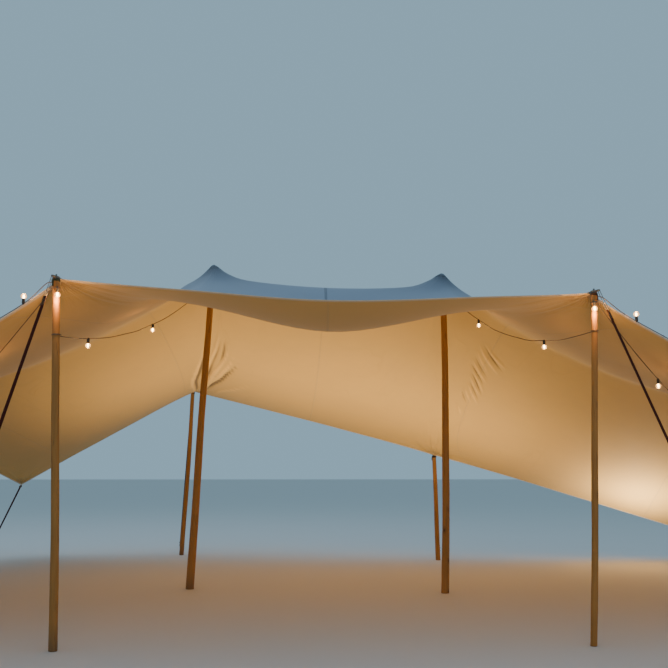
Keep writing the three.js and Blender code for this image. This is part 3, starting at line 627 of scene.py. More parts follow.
class Finish:
    """One material and the making of its nodes."""

    def __init__(self, name):
        self.material = bpy.data.materials.new(name)
        self.material.use_nodes = True
        self.tree = self.material.node_tree
        self.tree.nodes.clear()

    def node(self, kind, settings=None, inputs=None, output=0):
        made = self.tree.nodes.new(kind)
        for key, value in (settings or {}).items():
            setattr(made, key, value)
        for key, value in (inputs or {}).items():
            if isinstance(value, Wire):
                self.tree.links.new(value.socket, made.inputs[key])
            else:
                made.inputs[key].default_value = value
        return Wire(self, made.outputs[output]) if len(made.outputs) else made

    def split(self, vector):
        made = self.node("ShaderNodeSeparateXYZ", None, {0: vector}).socket.node
        return [Wire(self, socket) for socket in made.outputs]

    def vector(self, x, y, z):
        return self.node("ShaderNodeCombineXYZ", None, {0: x, 1: y, 2: z})

    def flat_map(self, name):
        return self.node("ShaderNodeUVMap", {"uv_map": name})

    def made_place(self):
        return self.node("ShaderNodeAttribute", {"attribute_name": "made"}, None, "Vector")

    def object_place(self):
        return self.node("ShaderNodeTexCoord", None, None, "Object")

    def noise(self, vector, scale, detail=3, roughness=0.5, distortion=0):
        inputs = {
            "Vector": vector,
            "Scale": scale,
            "Detail": detail,
            "Roughness": roughness,
            "Distortion": distortion,
        }
        return self.node("ShaderNodeTexNoise", None, inputs)

    def cells(self, vector, scale):
        return self.node("ShaderNodeTexVoronoi", None, {"Vector": vector, "Scale": scale})

    def stretch(self, vector, scale):
        return self.node("ShaderNodeMapping", None, {"Vector": vector, "Scale": scale})

    def step(self, value, low, high, start=0.0, end=1.0):
        """A smooth step from start to end as the value goes from low to high."""
        settings = {"interpolation_type": "SMOOTHSTEP"}
        inputs = {"Value": value, "From Min": low, "From Max": high, "To Min": start, "To Max": end}
        return self.node("ShaderNodeMapRange", settings, inputs)

    def mix(self, share, first, second):
        return self.node("ShaderNodeMix", {"data_type": "RGBA"}, {0: share, 6: first, 7: second}, 2)

    def tint(self, colour, strength):
        """The colour, made lighter or darker by a number round one."""
        grey = self.node("ShaderNodeCombineColor", None, {0: strength, 1: strength, 2: strength})
        settings = {"data_type": "RGBA", "blend_type": "MULTIPLY"}
        return self.node("ShaderNodeMix", settings, {0: 1.0, 6: colour, 7: grey}, 2)

    def bump(self, height):
        return self.node("ShaderNodeBump", None, {"Height": height, "Strength": 1.0, "Distance": 1.0})

    def surface(self, **sockets):
        inputs = {key.replace("_", " "): value for key, value in sockets.items()}
        shader = self.node("ShaderNodeBsdfPrincipled", None, inputs)
        self.node("ShaderNodeOutputMaterial", None, {"Surface": shader})
        return self.material


def cloth_finish(name, colour, outer):
    """Stretch knit with lapped seams, and stitched patches at the supports with creases out from them. Its
    tone carries painted light and shade on the folds, pleats and creases, and on the outer side painted
    shade round the peaks.
    """
    finish = Finish(name)
    u, v, _ = finish.split(finish.flat_map("flat"))
    angle, reach, _ = finish.split(finish.flat_map("support"))
    flat = finish.vector(u, v, 0)

    def thread_row(distance, place):
        return finish.step(abs(distance - place), THREAD_HALF, 2 * THREAD_HALF, 1, 0)

    def patch_within(radius):
        return finish.step(reach, radius - PATCH_EDGE, radius + PATCH_EDGE, 1, 0)

    panel_place = ((u - FIRST_SEAM) / PANEL_WIDTH + 0.5).math("FRACT")
    seam_distance = abs(panel_place - 0.5) * PANEL_WIDTH
    seam = finish.step(seam_distance, SEAM_HALF - 0.001, SEAM_HALF + 0.002, 1, 0)
    patch = patch_within(PATCH_RADIUS)
    inner_patch = patch_within(INNER_PATCH_RADIUS)
    stitch_beat = finish.step(((u + v) * CLOTH_STITCHES).math("FRACT"), 0.62, 0.7, 1, 0)
    threads = thread_row(seam_distance, SEAM_THREAD)
    for radius in PATCH_THREADS:
        threads = threads.math("MAXIMUM", thread_row(reach, radius))
    threads = threads * stitch_beat

    # The drawn folds' heights, turned into painted highlight on their crests and painted shade in their
    # troughs
    fold = finish.node("ShaderNodeAttribute", {"attribute_name": "fold"}, None, "Fac")
    sunk = fold * (-1 if outer else 1)
    painted_crest_highlight = finish.step(sunk, -FOLD_FULL, -FOLD_FAINT, FOLD_PAINTED_HIGHLIGHT, 0)
    painted_trough_shade = finish.step(sunk, FOLD_FAINT, FOLD_FULL, 0, FOLD_PAINTED_SHADE)
    clouds = finish.noise(flat, 0.7, 3, 0.55)
    mottle = finish.noise(flat, 7, 4, 0.6)
    fibres = finish.noise(flat, 260, 2, 0.7)
    # Creases that run out from the supports: raised in the bump, and put into the tone as painted light and
    # shade
    rays = finish.noise(finish.vector(angle * 4.5, reach * 1.1, 0), 1.6, 4, 0.55, 0.2)
    ray_share = finish.step(reach, 0.03, 0.14) * finish.step(reach, 0.25, 1.3, 1, 0)
    # Thin creases: sunk in the bump and darkened in the tone as painted shade
    crease_noise = finish.noise(finish.stretch(flat, (1.0, 0.45, 1)), 2.1, 2, 0.5, 0.6)
    crease = finish.step(abs(crease_noise - 0.5), 0.0, 0.022, 1, 0) * finish.step(clouds, 0.42, 0.62)
    knit = (u * 2600).math("SINE") * (v * 3400).math("SINE")

    # A wave of pleats round each support: raised in the bump, and put into the tone as painted highlight and
    # shade
    pleats = (angle * PLEATS + rays * 11).math("SINE")
    pleats = pleats * (finish.step(reach, *PLEATS_START) * finish.step(reach, *PLEATS_END, 1, 0))
    height = knit * 0.00003 + fibres * 0.00015 + mottle * 0.0006 + seam * 0.0011 + threads * 0.0006
    height = height + patch * 0.0009 + inner_patch * 0.0009 + rays * ray_share * 0.016 - crease * 0.0012
    height = height + pleats * 0.004
    # The knit's own tone, seams and patches, then the creases' painted shade, the rays' and folds' painted
    # light and shade, and the pleats' painted highlight and shade
    strength = 0.84 + clouds * 0.2 + mottle * 0.09 + fibres * 0.04 - seam * 0.1 - patch * 0.035
    strength = strength - inner_patch * 0.04 - crease * 0.035 - (rays - 0.5) * ray_share * 0.16
    strength = strength + (painted_crest_highlight - painted_trough_shade) + pleats * 0.17
    tone = finish.tint(colour, strength)
    tone = finish.mix(threads * 0.75, tone, THREAD_OUTER if outer else THREAD)
    if outer:
        tone = finish.mix(seam * 0.5, tone, SEAM_OUTER)
        on_peak = finish.step(angle, PEAK_ANGLE - 1, PEAK_ANGLE)
        cap_edge = reach + (mottle - 0.5) * 0.012
        tip = finish.step(cap_edge, CAP_PATCH_RADIUS, CAP_PATCH_RADIUS + 0.012, 1, 0) * on_peak
        # Painted shade on the outer side, darkest round each peak and fading out from it
        cap_shade = finish.step(cap_edge, *CAP_SHADE_REACHES, CAP_SHADE, 0) * on_peak
        tone = finish.mix(cap_shade, tone, CAP_DARK)
        height = height + tip * 0.002
    splash = finish.step(finish.split(finish.object_place())[2] + mottle * 0.5, 0.35, 1.1, 0.4, 0)
    tone = finish.mix(splash, tone, SOIL_SPLASH)
    return finish.surface(
        Base_Color=tone,
        Roughness=0.66 + mottle * 0.2,
        Specular_IOR_Level=0.3,
        Sheen_Weight=0.2,
        Sheen_Roughness=0.5,
        Normal=finish.bump(height),
    )


def hem_finish():
    """The folded rim: webbing-bound, with two rows of stitches."""
    finish = Finish("cream hem")
    u, v, _ = finish.split(finish.flat_map("flat"))
    across = u.math("MINIMUM", CLOTH_WIDTH - u)
    deep = v.math("MINIMUM", CLOTH_DEPTH - v)
    rim_distance = across.math("MINIMUM", deep)
    beat = finish.step(((u + v) * HEM_STITCHES).math("FRACT"), 0.6, 0.7, 1, 0)
    rows = [finish.step(abs(rim_distance - row), THREAD_HALF, 0.0018, 1, 0) for row in HEM_THREADS]
    threads = rows[0].math("MAXIMUM", rows[1]) * beat
    flat = finish.vector(u, v, 0)
    ribs = ((u - v) * 2100).math("SINE")
    wear = finish.noise(flat, 18, 4, 0.65)
    stains = finish.noise(flat, 1.6, 3, 0.6)
    tone = finish.tint(HEM_CREAM, 0.78 + wear * 0.22 + stains * 0.2 + ribs * 0.02)
    tone = finish.mix(threads * 0.8, tone, THREAD_HEM)
    height = ribs * 0.00012 + wear * 0.0006 - threads * 0.0008
    return finish.surface(Base_Color=tone, Roughness=0.7 + wear * 0.15, Normal=finish.bump(height))


def webbing_finish(name, colour):
    """Woven strap: ribs along it, a chevron across, bound edges and box stitching at its end."""
    finish = Finish(name)
    along, across, _ = finish.split(finish.made_place())
    place = finish.vector(along, across, 0)
    chevron = ((along + abs(across) * 0.8) * 1900).math("SINE")
    ribs = (across * 2600).math("SINE")
    bound = finish.step(abs(across), *BOUND_EDGE)
    wear = finish.noise(finish.stretch(place, (3, 30, 1)), 2, 4, 0.6)
    fuzz = finish.noise(place, 700, 2, 0.7)
    end = finish.step(along, *SEWN_START) * finish.step(along, *SEWN_END, 1, 0)
    zigzag = abs((along * ZIGZAGS).math("FRACT") - 0.5) * (4 * ZIGZAG_HALF) - ZIGZAG_HALF
    box = finish.step(abs(abs(across) - BOX_ROW), 0.0006, 0.0013, 1, 0)
    sewn = finish.step(abs(across - zigzag), 0.0007, 0.0015, 1, 0).math("MAXIMUM", box) * end
    tone = finish.tint(colour, 0.7 + wear * 0.5 + chevron * 0.09 + fuzz * 0.25 - bound * 0.15)
    tone = finish.mix(sewn * 0.55, tone, THREAD)
    height = chevron * 0.00022 + ribs * 0.0001 + fuzz * 0.0002 + bound * 0.0004 + sewn * 0.0005
    return finish.surface(
        Base_Color=tone,
        Roughness=0.62 + wear * 0.25,
        Specular_IOR_Level=0.12,
        Sheen_Weight=0.03,
        Sheen_Roughness=0.45,
        Normal=finish.bump(height),
    )


def timber_finish():
    """Peeled round pole: long grain, knots, drying cracks and soil at the foot."""
    finish = Finish("peeled timber")
    place = finish.made_place()
    height_up = finish.split(place)[2]
    broad = finish.noise(finish.stretch(place, (9, 9, 0.8)), 1.7, 3, 0.6, 0.4)
    grain = finish.noise(finish.stretch(place, (95, 95, 2.4)), 1.6, 5, 0.62, 0.5)
    fine = finish.noise(finish.stretch(place, (420, 420, 7)), 1, 3, 0.6)
    bands = finish.noise(finish.vector(0, 0, height_up), 1.3, 2, 0.5)
    crack_noise = finish.noise(finish.stretch(place, (34, 34, 0.75)), 1.4, 3, 0.5, 0.35)
    crack = finish.step(abs(crack_noise - 0.52), 0.002, 0.014, 1, 0) * finish.step(broad, 0.48, 0.6)
    knot_distance = finish.cells(finish.stretch(place, (1, 1, 0.62)), 5.2)
    knot = finish.step(knot_distance, 0.035, 0.1, 1, 0)
    halo = finish.step(knot_distance, 0.06, 0.24, 1, 0)
    rings = (knot_distance * 160).math("SINE") * halo
    shade = (1 - broad) * 0.7 + grain * 0.55 + halo * 0.25 - 0.35 + (bands - 0.5) * 0.5
    tone = finish.mix(finish.step(shade, 0, 1), TIMBER_LIGHT, TIMBER_DARK)
    tone = finish.tint(tone, 0.88 + fine * 0.26 + rings * 0.05)
    dark = knot.math("MAXIMUM", crack * 0.75)
    tone = finish.mix(dark, tone, KNOT_BROWN)
    soil = finish.step(height_up + grain * 0.12, 0.03, 0.34, 0.6, 0)
    tone = finish.mix(soil, tone, SOIL_BROWN)
    relief = grain * 0.0011 + fine * 0.0003 - crack * 0.0028 + halo * 0.0018 - knot * 0.0012 + rings * 0.0002
    return finish.surface(
        Base_Color=tone,
        Roughness=0.5 + grain * 0.25,
        Specular_IOR_Level=0.4,
        Normal=finish.bump(relief),
    )


def steel_finish(name, rust_share):
    """Hot-dip galvanised steel: spangle, dull patches, scratches, and rust where it is knocked about."""
    finish = Finish(name)
    place = finish.made_place()
    spangle = finish.cells(finish.stretch(place, (1, 1, 0.6)), 130)
    patches = finish.noise(place, 26, 4, 0.65)
    scratches = finish.noise(finish.stretch(place, (30, 400, 400)), 1.5, 3, 0.7)
    rust = finish.step(patches + scratches * 0.25, 0.78 - rust_share, 0.9 - rust_share)
    tone = finish.tint(GALVANISED, 0.72 + spangle * 0.28 + patches * 0.35)
    tone = finish.mix(rust, tone, finish.tint(RUST, 0.6 + scratches * 0.8))
    return finish.surface(
        Base_Color=tone,
        Metallic=0.88 - rust * 0.8,
        Roughness=0.34 + spangle * 0.16 + patches * 0.14 + rust * 0.3,
        Normal=finish.bump(spangle * 0.0001 + patches * 0.0005 + rust * 0.0005 - scratches * 0.00015),
    )


def black_finish(name, place_of, roughness, dust, colour=RUBBER_BLACK):
    """Black rubber or moulded plastic with a little dust and scuffing."""
    finish = Finish(name)
    place = place_of(finish)
    scuffs = finish.noise(place, 90, 4, 0.65)
    specks = finish.noise(place, 700, 2, 0.6)
    film = finish.step(scuffs, 0.5, 0.75, 0, dust)
    tone = finish.tint(colour, 0.7 + scuffs * 0.5 + specks * 0.3)
    tone = finish.mix(film, tone, DUST_PALE)
    return finish.surface(
        Base_Color=tone,
        Roughness=roughness + scuffs * 0.25,
        Normal=finish.bump(scuffs * 0.0002 + specks * 0.0001),
    )


def glass_finish():
    """Clear bulb glass, faintly warm, with a smear or two."""
    finish = Finish("bulb glass")
    smears = finish.noise(finish.made_place(), 60, 3, 0.6)
    return finish.surface(
        Base_Color=finish.tint(BULB_WARM, 0.94 + smears * 0.06),
        Roughness=0.03 + smears * 0.06,
        Transmission_Weight=0.9,
        IOR=1.45,
        Emission_Color=LAMP_GLOW,
        Emission_Strength=BULB_SHINE,
    )


def glow_finish():
    """The lit filament, hottest along its middle."""
    finish = Finish("lit filament")
    flicker = finish.noise(finish.made_place(), 140, 2, 0.5)
    warm = finish.mix(flicker, FILAMENT_ORANGE, FILAMENT_PALE)
    return finish.surface(
        Base_Color=warm,
        Roughness=0.5,
        Emission_Color=warm,
        Emission_Strength=FILAMENT_SHINE,
    )


def floor_finish():
    finish = Finish("pale floor")
    dusting = finish.noise(finish.object_place(), 0.6, 4, 0.6)
    return finish.surface(Base_Color=finish.tint(FLOOR_PALE, 0.98 + dusting * 0.04), Roughness=0.85)


def choose(*pieces):
    """Selects only these pieces and makes the first one active."""
    bpy.ops.object.select_all(action="DESELECT")
    for piece in pieces:
        piece.select_set(True)
    bpy.context.view_layer.objects.active = pieces[0]


@contextmanager
def editing(piece):
    """Edit mode on one piece, with nothing on it selected to begin with."""
    choose(piece)
    bpy.ops.object.mode_set(mode="EDIT")
    bpy.ops.mesh.select_all(action="DESELECT")
    yield
    bpy.ops.object.mode_set(mode="OBJECT")


def pick(piece, kind, test):
    """Selects the faces, edges or points that pass the test, and nothing else."""
    bpy.ops.mesh.select_mode(type=kind)
    bpy.ops.mesh.select_all(action="DESELECT")
    mesh = bmesh.from_edit_mesh(piece.data)
    for element in {"FACE": mesh.faces, "EDGE": mesh.edges, "VERT": mesh.verts}[kind]:
        element.select_set(bool(test(element)))
    bmesh.update_edit_mesh(piece.data)


def pick_top(piece):
    """Selects the faces that look up."""
    pick(piece, "FACE", lambda face: face.normal.z > 0.9)


def pick_edges(piece, test):
    """Selects the edges whose two ends pass the test."""
    pick(piece, "EDGE", lambda edge: test(edge.verts[0].co, edge.verts[1].co))


def pick_lengthwise(piece):
    """Selects the edges that run along the length of a strip that lies along X."""
    pick_edges(piece, lambda a, b: abs(a.x - b.x) > 0.01)


def pick_rims(piece):
    """Selects the level edges round the ends of an upright round bar."""
    pick_edges(piece, lambda a, b: abs(a.z - b.z) < 0.001)


def pick_points(piece, test):
    """Selects the points whose places pass the test."""
    pick(piece, "VERT", lambda point: test(point.co))


def move_picked(x, y, z):
    bpy.ops.transform.translate(value=(x, y, z))


def size_picked(x, y, z, height=0.0):
    """Sizes what is selected, about a height on the upright axis."""
    bpy.ops.transform.resize(value=(x, y, z), center_override=(0, 0, height))


def raise_picked(rise):
    """Extrudes what is selected straight up."""
    bpy.ops.mesh.extrude_region_move(TRANSFORM_OT_translate={"value": (0, 0, rise)})


def bevel_picked(width, segments):
    bpy.ops.mesh.bevel(offset=width, segments=segments, affect="EDGES")


def size_whole(piece, x, y, z, height=0.0):
    """Sizes a whole piece, about a height on the upright axis."""
    with editing(piece):
        bpy.ops.mesh.select_all(action="SELECT")
        size_picked(x, y, z, height)


def add_round(name, radius, low, high, sides):
    """An upright round bar between two heights, to be shaped further."""
    bpy.ops.mesh.primitive_cylinder_add(
        vertices=sides, radius=radius, depth=high - low, location=(0, 0, (low + high) / 2)
    )
    return keep_newest(name)


def add_block(name, low, high):
    """A block between two corners, to be shaped further."""
    middle = [(a + b) / 2 for a, b in zip(low, high)]
    bpy.ops.mesh.primitive_cube_add(size=1, location=middle)
    bpy.context.object.scale = [b - a for a, b in zip(low, high)]
    return keep_newest(name)


def add_ring(name, radius, rod, height, around, sides):
    """A level ring of round rod at a height, to be shaped further."""
    bpy.ops.mesh.primitive_torus_add(
        major_radius=radius,
        minor_radius=rod,
        major_segments=around,
        minor_segments=sides,
        location=(0, 0, height),
    )
    return keep_newest(name)


def add_ball(name, radius, height, around, rings):
    """A ball at a height, to be shaped further."""
    bpy.ops.mesh.primitive_uv_sphere_add(
        segments=around, ring_count=rings, radius=radius, location=(0, 0, height)
    )
    return keep_newest(name)


def keep_newest(name):
    """Names the newest object and puts its place and size into its mesh."""
    piece = bpy.context.object
    piece.name = name
    piece.data.name = name
    bpy.ops.object.transform_apply(location=True, rotation=True, scale=True)
    return piece


def put_in_scene(name, data):
    """A new object round its data, at the origin."""
    made = bpy.data.objects.new(name, data)
    bpy.context.collection.objects.link(made)
    return made


def finish_with(piece, kind, **settings):
    """Adds a modifier with its settings and applies it."""
    choose(piece)
    modifier = piece.modifiers.new(kind.lower(), kind)
    for key, value in settings.items():
        setattr(modifier, key, value)
    bpy.ops.object.modifier_apply(modifier=modifier.name)


def carve(piece, tool, operation):
    """Joins another piece to this one or cuts it out of it, and removes the other piece."""
    finish_with(piece, "BOOLEAN", object=tool, operation=operation, solver="EXACT")
    bpy.data.objects.remove(tool)


def round_edges(piece, width, segments=2, angle=40):
    sharp = math.radians(angle)
    finish_with(piece, "BEVEL", width=width, segments=segments, limit_method="ANGLE", angle_limit=sharp)


def smooth(piece, angle):
    choose(piece)
    bpy.ops.object.shade_smooth_by_angle(angle=math.radians(angle))


def join(name, pieces):
    """One piece from several."""
    choose(*pieces)
    if len(pieces) > 1:
        bpy.ops.object.join()
    pieces[0].name = name
    pieces[0].data.name = name
    return pieces[0]


def move_piece(piece, move):
    piece.data.transform(Matrix.Translation(move))


def set_made(data, places):
    """Stores a place for each point, which the piece's pattern follows wherever the piece goes."""
    attribute = data.attributes.get("made") or data.attributes.new("made", "FLOAT_VECTOR", "POINT")
    attribute.data.foreach_set("vector", np.array(places, dtype=np.float32).ravel())


def keep_made(piece, shift=(0, 0, 0)):
    """Keeps the points' places as they are now, moved by a shift, for the piece's pattern."""
    places = np.empty(len(piece.data.vertices) * 3, dtype=np.float32)
    piece.data.vertices.foreach_get("co", places)
    set_made(piece.data, places.reshape(-1, 3) + np.array(shift, dtype=np.float32))


def keep_wound(piece, radius):
    """Keeps the way round and the height of the points, for webbing wound round a pole."""
    places = []
    for point in piece.data.vertices:
        way_round = math.atan2(point.co.y, point.co.x) * radius
        places.append((way_round + PLAIN_WEBBING, point.co.z, 0))
    set_made(piece.data, places)


def shift_made(piece, shift):
    """Moves the pattern on a copy, so that no two copies wear alike."""
    attribute = piece.data.attributes["made"]
    places = np.empty(len(attribute.data) * 3, dtype=np.float32)
    attribute.data.foreach_get("vector", places)
    set_made(piece.data, places.reshape(-1, 3) + np.array(shift, dtype=np.float32))


def place_copy(model, name, place):
    """A copy of a modelled piece with its own mesh, put in place."""
    piece = put_in_scene(name, model.data.copy())
    piece.data.name = name
    piece.data.transform(place)
    return piece


def ready(piece, nodes, slot, *materials):
    """Gives a piece its materials, and hides the nodes that it stands for. The slot is not used."""
    for material in materials:
        piece.data.materials.append(material)
    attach(piece, "root")
    if nodes:
        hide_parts(*nodes)
    return piece


def frame_along(origin, forward):
    """A turned place whose X axis points forward and whose Y axis is level."""
    x_axis = Vector(forward).normalized()
    y_axis = Vector((0, 0, 1)).cross(x_axis).normalized()
    z_axis = x_axis.cross(y_axis)
    turned = Matrix((x_axis, y_axis, z_axis)).transposed().to_4x4()
    return Matrix.Translation(origin) @ turned


def level_direction(start, end):
    return Vector((end[0] - start[0], end[1] - start[1], 0)).normalized()


def strap_end(support):
    """Where the webbing ends, at the near side of its loop round the stake."""
    stake = Vector(support["stake"])
    end = stake - level_direction(support["hold"], stake) * STRAP_END_FROM_STAKE
    end.z = LOOP_HEIGHT
    return end


def even_stations(stops, counts):
    """Every stop along the cloth, with even steps between them."""
    parts = []
    for start, end, count in zip(stops, stops[1:], counts):
        parts.append(np.linspace(start, end, count, endpoint=False))
    return np.concatenate([*parts, [stops[-1]]])


def fine_stations(stops, length):
    """Places along the fine cloth, close together at the stops, with the hem's own steps at both ends."""
    hem = np.array(HEM_STEPS)
    ends = (hem[-1], *stops, length - hem[-1])
    parts = [hem[:-1]]
    for start, end in zip(ends, ends[1:]):
        samples = np.linspace(start, end, 400)
        nearest = np.min([np.abs(samples - stop) for stop in (0, *stops, length)], axis=0)
        density = 1 / np.minimum(FINEST_STEP + STEP_GROWTH * nearest, COARSEST_STEP)
        climb = np.concatenate(([0], np.cumsum((density[1:] + density[:-1]) / 2 * np.diff(samples))))
        count = math.ceil(climb[-1])
        parts.append(np.interp(np.linspace(0, climb[-1], count, endpoint=False), climb, samples))
    parts.append(length - hem[::-1])
    return np.concatenate(parts)


def shares(places):
    """Half the distance between the two neighbours of each place."""
    padded = np.concatenate(([places[0]], places, [places[-1]]))
    return (padded[2:] - padded[:-2]) / 2


def pull_at(u, v):
    """The cloth's pull at a place on it, against plain cloth."""
    pull = np.ones(np.broadcast(u, v).shape)
    for start, end, extra in PULL_BANDS:
        from_u, from_v = start["cloth"]
        along_u, along_v = end["cloth"][0] - from_u, end["cloth"][1] - from_v
        share = ((u - from_u) * along_u + (v - from_v) * along_v) / (along_u**2 + along_v**2)
        share = np.clip(share, 0, 1)
        distance = np.hypot(u - from_u - share * along_u, v - from_v - share * along_v)
        pull += extra * np.exp(-((distance / BAND_RADIUS) ** 2))
    for pole in CENTRE_POLES.values():
        distance = np.hypot(u - pole["cloth"][0], v - pole["cloth"][1])
        pull += PEAK_PULL * np.exp(-((distance / PEAK_PULL_RADIUS) ** 2))
    return pull


def nearest(places, value):
    return int(np.argmin(np.abs(places - value)))


def held_points(columns, rows):
    """The net's held points, by column and row, and where each is held."""
    held = {}
    for support in (*EDGE_POLES.values(), *CORNERS.values()):
        u, v = support["cloth"]
        held[nearest(columns, u), nearest(rows, v)] = support["hold"]
    for pole in CENTRE_POLES.values():
        column = nearest(columns, pole["cloth"][0])
        row = nearest(rows, pole["cloth"][1])
        x, y, z = pole["hold"]
        for across in (-1, 0, 1):
            for deep in (-1, 0, 1):
                reach = CAP_REACH / max(math.hypot(across, deep), 1)
                held[column + across, row + deep] = (x + across * reach, y + deep * reach, z - CAP_DROP)
        held[column, row] = pole["hold"]
    return held


def balanced_net(columns, rows):
    """The net's points once every thread's pull and the loads balance at each free point."""
    count = len(columns) * len(rows)
    index = np.arange(count).reshape(len(columns), len(rows))
    across_share = shares(columns)[:, None]
    deep_share = shares(rows)[None, :]
    pulls = np.zeros((count, count))

    def add_threads(first, second, pull):
        for a, b, sign in ((first, first, 1), (second, second, 1), (first, second, -1), (second, first, -1)):
            np.add.at(pulls, (a.ravel(), b.ravel()), sign * pull.ravel())

    steps = np.diff(columns)[:, None]
    middles = (columns[1:] + columns[:-1])[:, None] / 2
    pull = deep_share / steps * pull_at(middles, rows[None, :])
    pull[:, 0] += FRONT_EDGE_PULL / steps[:, 0]
    pull[:, -1] += REAR_EDGE_PULL / steps[:, 0]
    add_threads(index[:-1], index[1:], pull)
    steps = np.diff(rows)[None, :]
    middles = (rows[1:] + rows[:-1])[None, :] / 2
    pull = across_share / steps * pull_at(columns[:, None], middles)
    pull[[0, -1]] += SIDE_EDGE_PULL / steps
    add_threads(index[:, :-1], index[:, 1:], pull)

    belly_distance = np.hypot(columns[:, None] - BELLY_PLACE[0], rows[None, :] - BELLY_PLACE[1])
    belly = np.exp(-((belly_distance / BELLY_RADIUS) ** 2))
    loads = np.zeros((count, 3))
    loads[:, 2] = -(CLOTH_WEIGHT * across_share * deep_share + BELLY_LOAD * belly / belly.sum()).ravel()

    points = np.zeros((count, 3))
    free = np.ones(count, dtype=bool)
    for (column, row), hold in held_points(columns, rows).items():
        points[index[column, row]] = hold
        free[index[column, row]] = False
    loads -= pulls @ points
    points[free] = np.linalg.solve(pulls[np.ix_(free, free)], loads[free])
    return points.reshape(len(columns), len(rows), 3)


def smooth_weights(places, fine, kinks=()):
    """What each fine place takes from each place of the net, on a smooth curve that may turn at kinks."""
    count = len(places)
    steps = np.diff(places)
    slopes = np.zeros((count - 1, count))
    for k, step in enumerate(steps):
        slopes[k, k] = -1 / step
        slopes[k, k + 1] = 1 / step
    middle = np.zeros((count, count))
    for k in range(1, count - 1):
        middle[k] = (steps[k - 1] * slopes[k] + steps[k] * slopes[k - 1]) / (steps[k - 1] + steps[k])
    leaving = middle.copy()
    arriving = middle.copy()
    for k in (0, *kinks):
        leaving[k] = 2 * slopes[k] - middle[k + 1]
    for k in (*kinks, count - 1):
        arriving[k] = 2 * slopes[k - 1] - middle[k - 1]
    unit = np.eye(count)
    weights = np.zeros((len(fine), count))
    for row, place in enumerate(fine):
        k = min(max(int(np.searchsorted(places, place, side="right")) - 1, 0), count - 2)
        t = (place - places[k]) / steps[k]
        weights[row] = (
            (2 * t**3 - 3 * t**2 + 1) * unit[k]
            + (3 * t**2 - 2 * t**3) * unit[k + 1]
            + (t**3 - 2 * t**2 + t) * steps[k] * leaving[k]
            + (t**3 - t**2) * steps[k] * arriving[k + 1]
        )
    return weights


